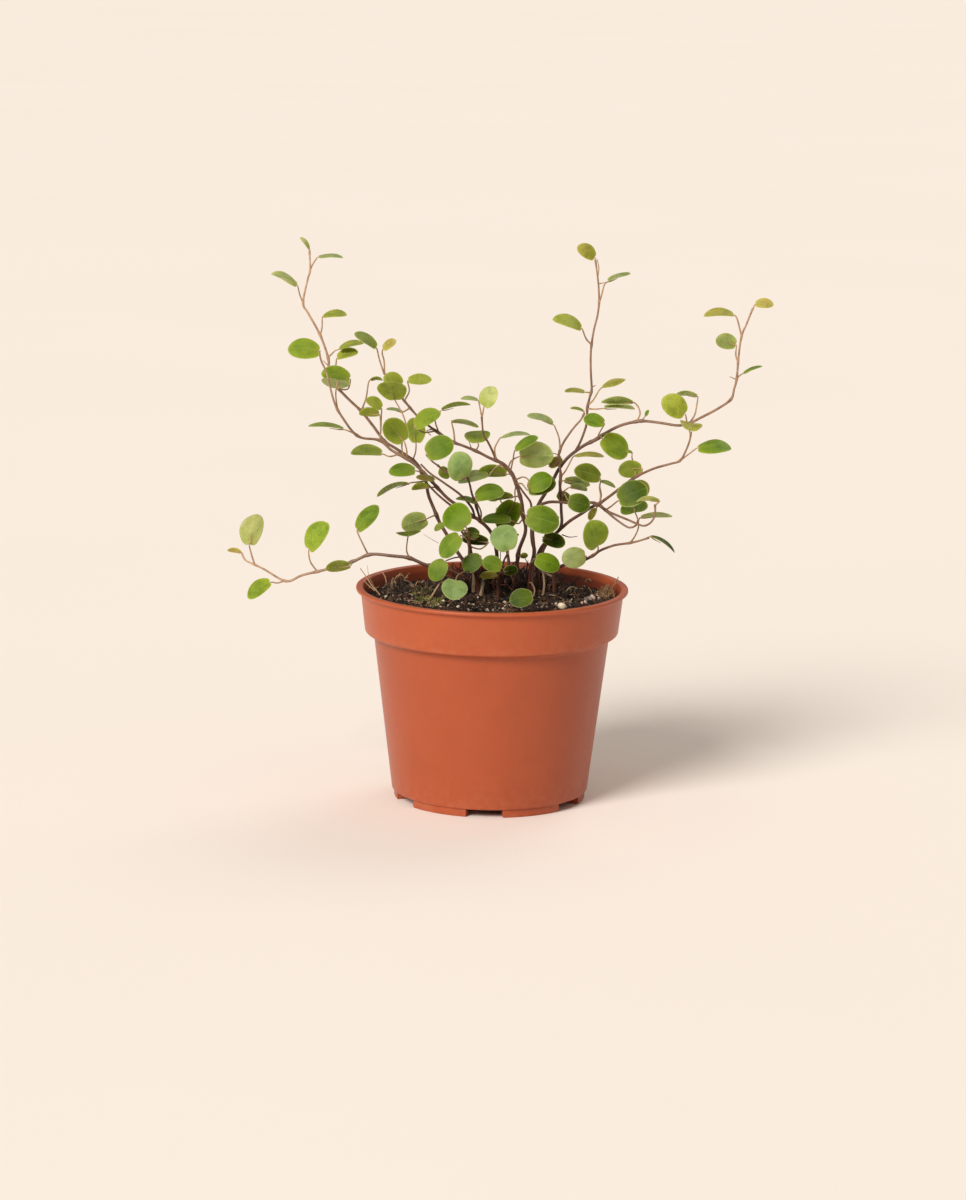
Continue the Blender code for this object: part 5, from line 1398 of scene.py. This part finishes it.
        "shoots": [[(1.6, 54.0, -4.0), (1.9, 57.0, -5.5), (3.0, 60.5, -7.0), (3.8, 61.8, -7.5)]],
        "leaves": [
            ((3.8, 61.7), [], (4.0, 62.5, -7.8), (1.7, 69.0), 6.9, TOP, FAR, "glaucous"),
            ((1.9, 57.0), [(2.6, 57.4, -9.0)], (2.3, 58.2, -12.0), (-2.5, 60.0), 4.1, TOP, NEAR, "mid"),
            ((1.7, 55.2), [], (1.4, 56.2, -7.5), (-3.2, 56.0), 1.9, UNDER, NEAR, "yellow_olive"),
            ((1.9, 56.8), [], (2.8, 57.2, -4.0), (6.4, 57.9), 2.6, UNDER, FAR, "dark"),
        ],
    },
    "stem_front_right": {
        "root": (9.2, -3.5),
        "shoots": [[(9.3, 54.0, -4.0), (9.4, 57.0, -5.5), (9.7, 59.8, -7.5)]],
        "leaves": [
            ((9.7, 59.6), [], (10.5, 60.7, -9.0), (16.8, 58.6), 4.7, TOP, NEAR, "bright"),
            (
                (9.3, 54.6), [(9.9, 54.4, -13.0), (10.6, 52.8, -22.0)],
                (10.3, 51.2, -27.0), (4.4, 49.8), 4.6, TOP, NEAR, "deep",
            ),
        ],
    },
    "stem_back_middle": {
        "root": (4.0, 14.0),
        "shoots": [
            [(4.0, 56.5, 15.0), (4.0, 60.0, 17.5), (3.2, 65.0, 20.0), (3.0, 70.0, 23.0), (2.4, 74.0, 26.0)],
        ],
        "leaves": [
            ((3.2, 65.0), [], (2.6, 65.6, 22.5), (0.9, 66.9), 4.6, TOP, FAR, "mid"),
            ((3.4, 63.9), [], (4.2, 65.4, 18.0), (4.8, 67.0), 3.8, UNDER, NEAR, "deep"),
            ((3.0, 70.0), [], (3.2, 71.2, 26.0), (3.0, 73.6), 5.0, TOP, FAR, "mid"),
            ((2.4, 74.0), [], (1.4, 75.9, 27.0), (-2.2, 77.4), 3.4, TOP, FAR, "bright"),
        ],
    },
    "stem_back_right": {
        "root": (12.0, 14.0),
        "shoots": [
            [
                (12.0, 57.0, 15.0), (12.3, 60.0, 17.0), (12.4, 63.5, 19.0), (14.0, 66.0, 21.0),
                (12.5, 70.0, 24.0),
            ],
        ],
        "leaves": [
            ((12.3, 60.0), [], (13.4, 59.9, 19.0), (15.6, 59.4), 3.2, TOP, FAR, "mid"),
            ((14.0, 66.0), [], (15.0, 65.6, 23.0), (16.8, 65.6), 1.7, TOP, FAR, "deep"),
            ((12.5, 70.0), [], (11.8, 70.6, 26.5), (10.4, 72.6), 5.0, TOP, FAR, "mid"),
            ((13.0, 68.8), [], (14.0, 69.2, 24.0), (14.8, 71.6), 4.0, UNDER, NEAR, "grey"),
        ],
    },
    "stem_back_left": {
        "root": (-6.5, 12.5),
        "shoots": [
            [
                (-6.3, 56.8, 13.5), (-6.0, 60.0, 16.0), (-6.0, 64.0, 18.5), (-8.0, 67.8, 21.0),
                (-9.0, 71.0, 24.0),
            ],
        ],
        "leaves": [
            ((-9.0, 71.0), [], (-9.2, 71.8, 26.5), (-8.0, 73.2), 4.6, TOP, FAR, "mid"),
            ((-8.4, 69.0), [], (-10.2, 69.2, 24.0), (-11.4, 70.8), 3.6, TOP, FAR, "deep"),
            ((-7.0, 65.9), [], (-9.3, 65.0, 21.5), (-11.0, 63.2), 3.2, TOP, FAR, "mid"),
            ((-6.0, 60.0), [], (-5.2, 59.4, 18.0), (-4.0, 60.2), 3.0, TOP, FAR, "deep"),
        ],
    },
}
leaf_count = sum(len(stem["leaves"]) for stem in LEAFY_STEMS.values())
print(len(LEAFY_STEMS), "leafy stems with", leaf_count, "leaves")

# %% [markdown]
# ## The finish of stems and leaf stalks
#
# Old wood near the soil is dark brown, and the wiry ends are a reddish tan. The colour follows the distance
# from the plant's foot, slowly at first. The shorter stems are younger and pale sooner, so each length has its
# own bark. Leaf stalks are younger than the stem that carries them, and are paler from the start.

# %% Mix the bark
def bark_finish(name, low, high, young, delay):
    """Bark that runs from dark to young between two distances from the plant's foot, in millimetres."""
    finish, tree, shader, place = new_finish(name, 0.5, 0.4)
    foot = tree.nodes.new("ShaderNodeVectorMath")
    foot.operation = "DISTANCE"
    feed(tree, foot.inputs[0], place)
    foot.inputs[1].default_value = (0.004, 0.004, 0.048)
    age = maths(tree, "POWER", ramp(tree, foot.outputs["Value"], low * MM, high * MM), delay)
    aged = blend(tree, age, colour(84, 47, 33), young)
    streaked = use_group(tree, patches, Place=place, Patch_Size=1.4, Amount=0.45, Main=aged, Patch=colour(72, 41, 29))
    feed(tree, shader.inputs["Base Color"], streaked["Color"])
    surface = use_group(tree, grain, Place=place, Grain_Size=0.3, Roughness=0.5, Spread=0.25)
    feed(tree, shader.inputs["Roughness"], surface["Roughness"])
    bump(tree, shader, surface["Height"], 0.05)
    return finish


BARK_START = 12.0
BARK_END = 96.0
STEM_END = {
    "stem_tall_right": 108.0,
    "stem_low_left": 68.0, "stem_inner_left": 84.0, "stem_inner_right": 74.0,
    "stem_hooked_right": 68.0, "stem_low_right": 66.0,
}
YOUNG_BARK = colour(204, 164, 130)
barks = {end: bark_finish(f"bark_{end:.0f}", BARK_START, end, YOUNG_BARK, 1.5)
         for end in sorted({BARK_END, *STEM_END.values()})}
stalk_bark = bark_finish("leaf_stalk", -12.0, 50.0, colour(186, 150, 110), 1.0)
print("finishes:", [finish.name for finish in barks.values()], stalk_bark.name)

# %% [markdown]
# ## Stems and leaf stalks
#
# A stem thins from its foot to its tip and swells a little at each joint where a leaf stalk leaves it. A stalk
# starts inside the stem and runs on a short way under its blade, thinning out like the real midrib. A few
# stubs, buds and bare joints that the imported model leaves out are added. All the strands of one leafy stem make
# one piece of wood and one piece of stalks.

# %% Route the wood
STEM_BOTTOM = 47.9
STEM_CLEAR_OF_SOIL = 53.2
STEM_ROOT_RADIUS = 0.52
STEM_TIP_RADIUS = 0.23
SHOOT_ROOT_RADIUS = 0.32
JOINT_SWELLING = 0.42
JOINT_REACH = 0.75
WOOD_SPACING = 0.7


def nearest_on_shoots(shoots, across, up):
    """The depth of the shoot that passes nearest to this place as seen."""
    found = []
    for shoot in shoots:
        for start, end in zip(shoot, shoot[1:]):
            run = (end[0] - start[0], end[1] - start[1])
            length = run[0] ** 2 + run[1] ** 2
            part = ((across - start[0]) * run[0] + (up - start[1]) * run[1]) / length
            part = min(max(part, 0.0), 1.0)
            off = math.hypot(start[0] + part * run[0] - across, start[1] + part * run[1] - up)
            found.append((off, start[2] + part * (end[2] - start[2])))
    return min(found)[1]


SPUR_RADIUS = 0.16
SPUR_END_RADIUS = 0.09
SPURS = {
    "stem_tall_left": [[(-33.1, 97.3), (-32.4, 98.4)], [(-41.4, 108.6), (-42.6, 109.8)]],
    "stem_arching_left": [[(-5.6, 88.2), (-6.2, 89.9)], [(-15.2, 93.0), (-16.8, 92.6), (-15.7, 91.4)]],
    "stem_tall_right": [
        [(24.8, 131.0), (25.1, 133.6), (24.6, 135.9)], [(25.3, 129.8), (26.7, 130.1)], [(23.8, 104.0), (24.9, 104.6)],
        [(59.3, 106.6), (57.9, 107.2)],
    ],
    "stem_inner_right": [[(16.6, 86.4), (15.4, 87.2), (14.3, 87.5)]],
    "stem_branching_right": [[(17.2, 66.9), (19.0, 66.3), (21.0, 66.5)]],
}
OLD_JOINTS = {
    "stem_tall_left": [(-27.3, 89.9)],
    "stem_arching_left": [(2.2, 84.6), (3.2, 83.8), (-9.8, 89.7)],
    "stem_tall_right": [(24.0, 90.3), (58.4, 101.5)],
    "stem_inner_right": [(17.2, 75.8), (17.2, 77.4)],
    "stem_hooked_right": [(25.0, 74.6), (26.8, 74.0)],
    "stem_branching_right": [(17.1, 70.0)],
}


def joints_of(stem):
    """Where the leaf stalks leave the shoots."""
    return [seen(*leaf[0], nearest_on_shoots(stem["shoots"], *leaf[0])) for leaf in stem["leaves"]]


def on_stem(stem, across, up):
    return seen(across, up, nearest_on_shoots(stem["shoots"], across, up))


def wood_routes(name, stem):
    x, y = stem["root"]
    foot = [Vector((x, y, STEM_BOTTOM)), Vector((x, y, STEM_CLEAR_OF_SOIL))]
    joints = joints_of(stem) + [on_stem(stem, *place) for place in OLD_JOINTS.get(name, [])]
    made = []
    for spur in SPURS.get(name, []):
        route = smooth_route([on_stem(stem, *place) for place in spur], WOOD_SPACING)
        made.append((route, tapering(len(route), SPUR_RADIUS, SPUR_END_RADIUS)))
    for number, shoot in enumerate(stem["shoots"]):
        points = [seen(*place) for place in shoot]
        route = smooth_route(points if number else foot + points, WOOD_SPACING)
        radii = tapering(len(route), SHOOT_ROOT_RADIUS if number else STEM_ROOT_RADIUS, STEM_TIP_RADIUS)
        for index, point in enumerate(route):
            near = min((joint - point).length for joint in joints)
            radii[index] *= 1 + JOINT_SWELLING * math.exp(-((near / JOINT_REACH) ** 2))
        made.append((route, radii))
    return made


# %% [markdown]
# ## How a blade is held
#
# The picture gives each blade's base, tip and width as seen. A round blade that looks short for its width
# leans towards the viewer or away, and one that looks narrow is turned about its midrib. From this comes the
# blade's true size and the direction that its top faces.

# %% Work out a blade
BLADE_ASPECT = 0.86


def blade_frame(base, tip, width, face, lean, aspect):
    """The blade's base and tip, its true width, and the direction that its top faces."""
    start = seen(*base)
    seen_length = math.hypot(tip[0] - base[0], tip[1] - base[1])
    length = max(width / aspect, seen_length)
    end = seen(tip[0], tip[1], base[2] - lean * math.sqrt(length**2 - seen_length**2))
    along = (end - start).normalized()
    to_viewer = Vector((EYE_ACROSS, -EYE_IN_FRONT, EYE_UP)) - (start + end) / 2
    facing = (to_viewer - to_viewer.dot(along) * along).normalized()
    sideways = facing.cross(along)
    if sideways.z < 0:
        sideways = -sideways
    true_width = max(width, aspect * (end - start).length)
    turn = math.acos(width / true_width)
    top = face * math.cos(turn) * facing + math.sin(turn) * sideways
    return start, end, true_width, top.normalized()


# %% Route the leaf stalks
STALK_RADIUS = 0.20
MIDRIB_REACH = 0.42


def stalk_routes(stem):
    made = []
    for (at, via, base, tip, width, face, lean, tint, *rest), joint in zip(stem["leaves"], joints_of(stem)):
        start, end, true_width, top = blade_frame(base, tip, width, face, lean, rest[0] if rest else BLADE_ASPECT)
        along = (end - start).normalized()
        under = start + 0.12 * (end - start) - 0.12 * top
        rib = start + MIDRIB_REACH * (end - start) + (0.24 * (end - start).length * BLADE_ARCH - 0.1) * top
        route = smooth_route([joint] + [seen(*place) for place in via] + [start, under], 0.6)
        radii = tapering(len(route), STALK_RADIUS * 1.15, STALK_RADIUS * 0.8)
        made.append((route + [rib], radii + [0.06]))
    return made


# %% [markdown]
# ## The blade
#
# One blade is modelled and then bent to fit every place. It starts as a ball that is pressed flat, because a
# pressed ball is already a thin lens with a fine rim and enough points near its edge. Its outline then gets
# the leaf's own shape: nearly round, with a small notch between two ears at the base and a faint point at the
# tip. The outline is a short formula of the angle. Before the pressing, the flat map of each point is kept as
# its UV, so that veins and the pale rim, part paler edge and part painted highlight, follow the blade however it is
# bent.

# %% Model a blade
BLADE_SIDES = 32
BLADE_RINGS = 12


def outline(angle):
    """How far the rim lies from the middle, by the angle from the base."""
    off_base = abs(math.remainder(angle, 2 * math.pi))
    notch = 0.09 * math.exp(-((off_base / 0.20) ** 2))
    ears = 0.05 * math.exp(-(((off_base - 0.55) / 0.30) ** 2))
    point = 0.015 * math.exp(-(((math.pi - off_base) / 0.16) ** 2))
    return 1 - notch + ears + point


bpy.ops.object.select_all(action="DESELECT")
bpy.ops.mesh.primitive_uv_sphere_add(segments=BLADE_SIDES, ring_count=BLADE_RINGS, radius=1, calc_uvs=True)
blade = bpy.context.object
blade.name = "blade"
flat_map = blade.data.uv_layers.active.data
for loop in blade.data.loops:
    corner = blade.data.vertices[loop.vertex_index].co
    flat_map[loop.index].uv = (0.5 + corner.x / 2, 0.5 + corner.y / 2)
for corner in blade.data.vertices:
    reach = outline(math.atan2(corner.co.x, -corner.co.y))
    corner.co.x *= reach
    corner.co.y *= reach
print("a blade has", len(blade.data.polygons), "faces")

# %% [markdown]
# ## Bending a blade into its place
#
# A flat copy would look like a coin. Each blade is arched from base to tip, and folded or cupped across its
# midrib by its own small amount, with a slight wave along its rim. These amounts are drawn by chance for each
# leaf, within what the plant shows.

# %% Place a blade
BLADE_THICKNESS = 0.30
BLADE_ARCH = 0.07


def bent_blade(leaf, chance):
    """A place function for one leaf: the flat blade's points, bent and moved to where the leaf is."""
    at, via, base, tip, width, face, lean, tint, *rest = leaf
    start, end, true_width, top = blade_frame(base, tip, width, face, lean, rest[0] if rest else BLADE_ASPECT)
    along = end - start
    across = top.cross(along.normalized())
    arch = BLADE_ARCH * along.length * chance.uniform(0.7, 1.5)
    fold = true_width * chance.uniform(-0.02, 0.07)
    cup = true_width * chance.uniform(-0.04, 0.04)
    wave = true_width * chance.uniform(0.0, 0.022)
    waves = chance.choice((2, 3))
    start_angle = chance.uniform(0, 2 * math.pi)

    def place(point):
        reach = (point.y + 1) / 2
        out = math.hypot(point.x, point.y)
        angle = math.atan2(point.x, point.y)
        lift = arch * (1 - point.y**2) + fold * abs(point.x) + cup * out**2
        lift += wave * out**3 * math.sin(waves * angle + start_angle)
        lift += BLADE_THICKNESS / 2 * point.z
        return start + reach * along + point.x * true_width / 2 * across + lift * top

    return place


# %% [markdown]
# ## The leaves' colours
#
# A living plant has many greens at once: fresh leaves are bright and yellowish, and some have a grey bloom.
# The deep tint is partly a real deep green and partly painted shade, and the dark tint is painted shade for
# leaves that sit in shadow. Each leaf's word in the plan picks its tint. The face that doesn't show gets the
# matching other side: an underside is always paler and greyer than its top. An underside that shows is made
# lighter still, which is painted light. The fourth number says how much of the yellow glow near the base the
# leaf has.

# %% Name the tints
LEAF_TINTS = {
    "fresh": ((124, 143, 44), 0.5),
    "bright": ((94, 120, 10), 0.35),
    "mid": ((104, 128, 34), 0.35),
    # deep is partly a real deep green and partly painted shade; dark is painted shade for leaves in shadow.
    "deep": ((68, 88, 10), 0.2),
    "dark": ((48, 58, 16), 0.1),
    "dull": ((92, 100, 26), 0.15),
    "olive": ((126, 136, 54), 0.25),
    "yellow_green": ((146, 151, 56), 0.4),
    "yellow_olive": ((154, 145, 64), 0.3),
    "pale_yellow": ((182, 186, 118), 0.5),
    "young": ((178, 160, 90), 0.3),
    "brown": ((118, 102, 46), 0.15),
    "glaucous": ((130, 152, 92), 0.2),
    "misty": ((166, 192, 122), 0.2),
    "pale": ((202, 212, 146), 0.4),
    "grey": ((144, 153, 96), 0.2),
}
UNDERSIDE = ((134, 146, 92), 0.2)
# Painted light: an underside that shows is made this much lighter, standing in for light through the thin leaf.
PAINTED_UNDERSIDE_LIGHT = 1.3
HIDDEN_TOP = "mid"


def leaf_tints(name, face, chance):
    """The colours of a blade's top and underside, a little lighter or darker from leaf to leaf, with painted light on
    an underside that shows.
    """
    # The random factor varies the tone from leaf to leaf; the underside factor is painted light.
    light = chance.uniform(0.90, 1.12) * (PAINTED_UNDERSIDE_LIGHT if face == UNDER else 1.0)

    def shaded(values, glow):
        return [part * light for part in colour(*values)[:3]] + [glow]

    shown = shaded(*LEAF_TINTS[name])
    under = shaded(*UNDERSIDE)
    if face == TOP:
        return shown, [0.35 * one + 0.65 * other for one, other in zip(shown, under)]
    return shaded(*LEAF_TINTS[HIDDEN_TOP]), shown


# %% [markdown]
# ## The leaf's finish
#
# The leaf is satin, with a faint pale midrib, side veins that curve towards the tip, a thin pale rim, and a
# yellow-green glow that spreads from the base. The pale rim is partly the leaf's paler edge and partly a
# painted highlight. All of them are drawn on the blade's flat map, where the middle is (0.5, 0.5) and the
# base lies at the bottom. The tint comes from the colour attribute, and patches keep it from being even.

# %% Mix the leaf
leaf_finish, tree, shader, place = new_finish("leaf", 0.5, 0.14)
shader.inputs["Subsurface Weight"].default_value = 0.5
shader.inputs["Subsurface Radius"].default_value = (0.9, 1.0, 0.35)
shader.inputs["Subsurface Scale"].default_value = 1.1 * MM
tint = add_node(tree, "Attribute")
tint.attribute_name = "tint"
flat = add_node(tree, "SeparateXYZ", Vector=tree.nodes.new("ShaderNodeUVMap").outputs[0])
side = maths(tree, "ABSOLUTE", maths(tree, "SUBTRACT", flat.outputs[0], 0.5))
forward = maths(tree, "SUBTRACT", flat.outputs[1], 0.5)
out = maths(tree, "SQRT", maths(tree, "ADD", maths(tree, "POWER", side, 2), maths(tree, "MULTIPLY", forward, forward)))
# The pale rim is partly the leaf's own paler edge and partly a painted highlight.
rim = ramp(tree, out, 0.455, 0.495)
midrib = ramp(tree, side, 0.022, 0.006)
vein_count = maths(tree, "MULTIPLY", maths(tree, "SUBTRACT", forward, maths(tree, "MULTIPLY", side, 0.75)), 9.0)
vein_wave = maths(tree, "ABSOLUTE", maths(tree, "SUBTRACT", maths(tree, "FRACT", vein_count), 0.5))
side_veins = maths(tree, "MULTIPLY", ramp(tree, vein_wave, 0.10, 0.02), ramp(tree, out, 0.46, 0.30))
veins = maths(tree, "MAXIMUM", midrib, maths(tree, "MULTIPLY", side_veins, 0.45))
glow = maths(tree, "MULTIPLY", ramp(tree, flat.outputs[1], 0.60, 0.05), tint.outputs["Alpha"])

darker = blend(tree, 1.0, tint.outputs["Color"], colour(196, 206, 186), "MULTIPLY")
base_green = use_group(
    tree, patches, Place=place, Patch_Size=2.4, Amount=0.8, Main=tint.outputs["Color"], Patch=darker
)
lighter = blend(tree, 1.0, base_green["Color"], colour(96, 108, 66), "ADD")
glowing = blend(tree, glow, base_green["Color"], colour(146, 158, 44))
veined = blend(tree, maths(tree, "MULTIPLY", veins, 0.45), glowing, lighter)
# Partly a paler edge, partly a painted highlight along the rim.
pale_rim_and_highlight = blend(tree, maths(tree, "MULTIPLY", rim, 0.5), veined, colour(166, 174, 108))
feed(tree, shader.inputs["Base Color"], pale_rim_and_highlight)
surface = use_group(tree, grain, Place=place, Grain_Size=0.35, Roughness=0.5, Spread=0.2)
feed(tree, shader.inputs["Roughness"], surface["Roughness"])
relief = maths(tree, "SUBTRACT", maths(tree, "MULTIPLY", surface["Height"], 0.4), maths(tree, "MULTIPLY", veins, 0.6))
bump(tree, shader, relief, 0.08)
print("finish:", leaf_finish.name)

# %% [markdown]
# ## Growing the plant
#
# Every leafy stem becomes three pieces: its wood, its leaf stalks and its blades. Together they stand for the
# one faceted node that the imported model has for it.

# %% Grow every leafy stem
for number, (name, stem) in enumerate(LEAFY_STEMS.items()):
    chance = random.Random(1000 + number)
    wood_finish = barks[STEM_END.get(name, BARK_END)]
    hand_over(strands("wood", wood_routes(name, stem), 2), name + "_wood", wood_finish, "foliage", name)
    hand_over(strands("stalks", stalk_routes(stem), 1), name + "_stalks", stalk_bark, "foliage", name)
    places = [bent_blade(leaf, chance) for leaf in stem["leaves"]]
    tints = [leaf_tints(leaf[7], leaf[5], chance) for leaf in stem["leaves"]]
    hand_over(copies(blade, places, tints), name + "_blades", leaf_finish, "foliage", name)
bpy.data.objects.remove(blade)

# %% [markdown]
# ## Floor and light
#
# The pot stands on a plain pale floor, wide enough to fill the picture. Two large soft lamps and an even
# cream sky light it: the stronger from the front and left, and one from above and behind that rims the leaves.

# %% Lay the floor
floor_finish, tree, shader, place = new_finish("pale_floor", 0.85, 0.2)
floor_colour = use_group(
    tree, patches, Place=place, Patch_Size=260.0, Amount=0.3, Main=colour(250, 240, 231), Patch=colour(247, 236, 226)
)
feed(tree, shader.inputs["Base Color"], floor_colour["Color"])
bpy.ops.object.select_all(action="DESELECT")
bpy.ops.mesh.primitive_circle_add(vertices=96, radius=8, fill_type="NGON", location=(0, 0, 0))
floor = bpy.context.object
floor.name = "floor"
floor.data.materials.append(floor_finish)


# %% Hang the lamps
def soft_lamp(name, place, strength, spread, tone):
    """A lamp so far off that its light is even, aimed at the plant. Its spread, in degrees, softens the shadows."""
    bpy.ops.object.light_add(type="SUN", location=place)
    lamp = bpy.context.object
    lamp.name = name
    lamp.data.energy = strength
    lamp.data.angle = math.radians(spread)
    lamp.data.color = tone
    lamp.rotation_euler = (-Vector(place)).to_track_quat("-Z", "Y").to_euler()


soft_lamp("key_lamp", (-1.1, -1.5, 1.25), 3.1, 26, (1.0, 0.975, 0.94))
soft_lamp("back_lamp", (0.9, 1.6, 1.8), 0.5, 30, (1.0, 0.98, 0.95))
sky = bpy.data.worlds.new("sky")
sky.use_nodes = True
sky.node_tree.nodes["Background"].inputs[0].default_value = colour(255, 247, 236)
sky.node_tree.nodes["Background"].inputs[1].default_value = 0.36
bpy.context.scene.world = sky
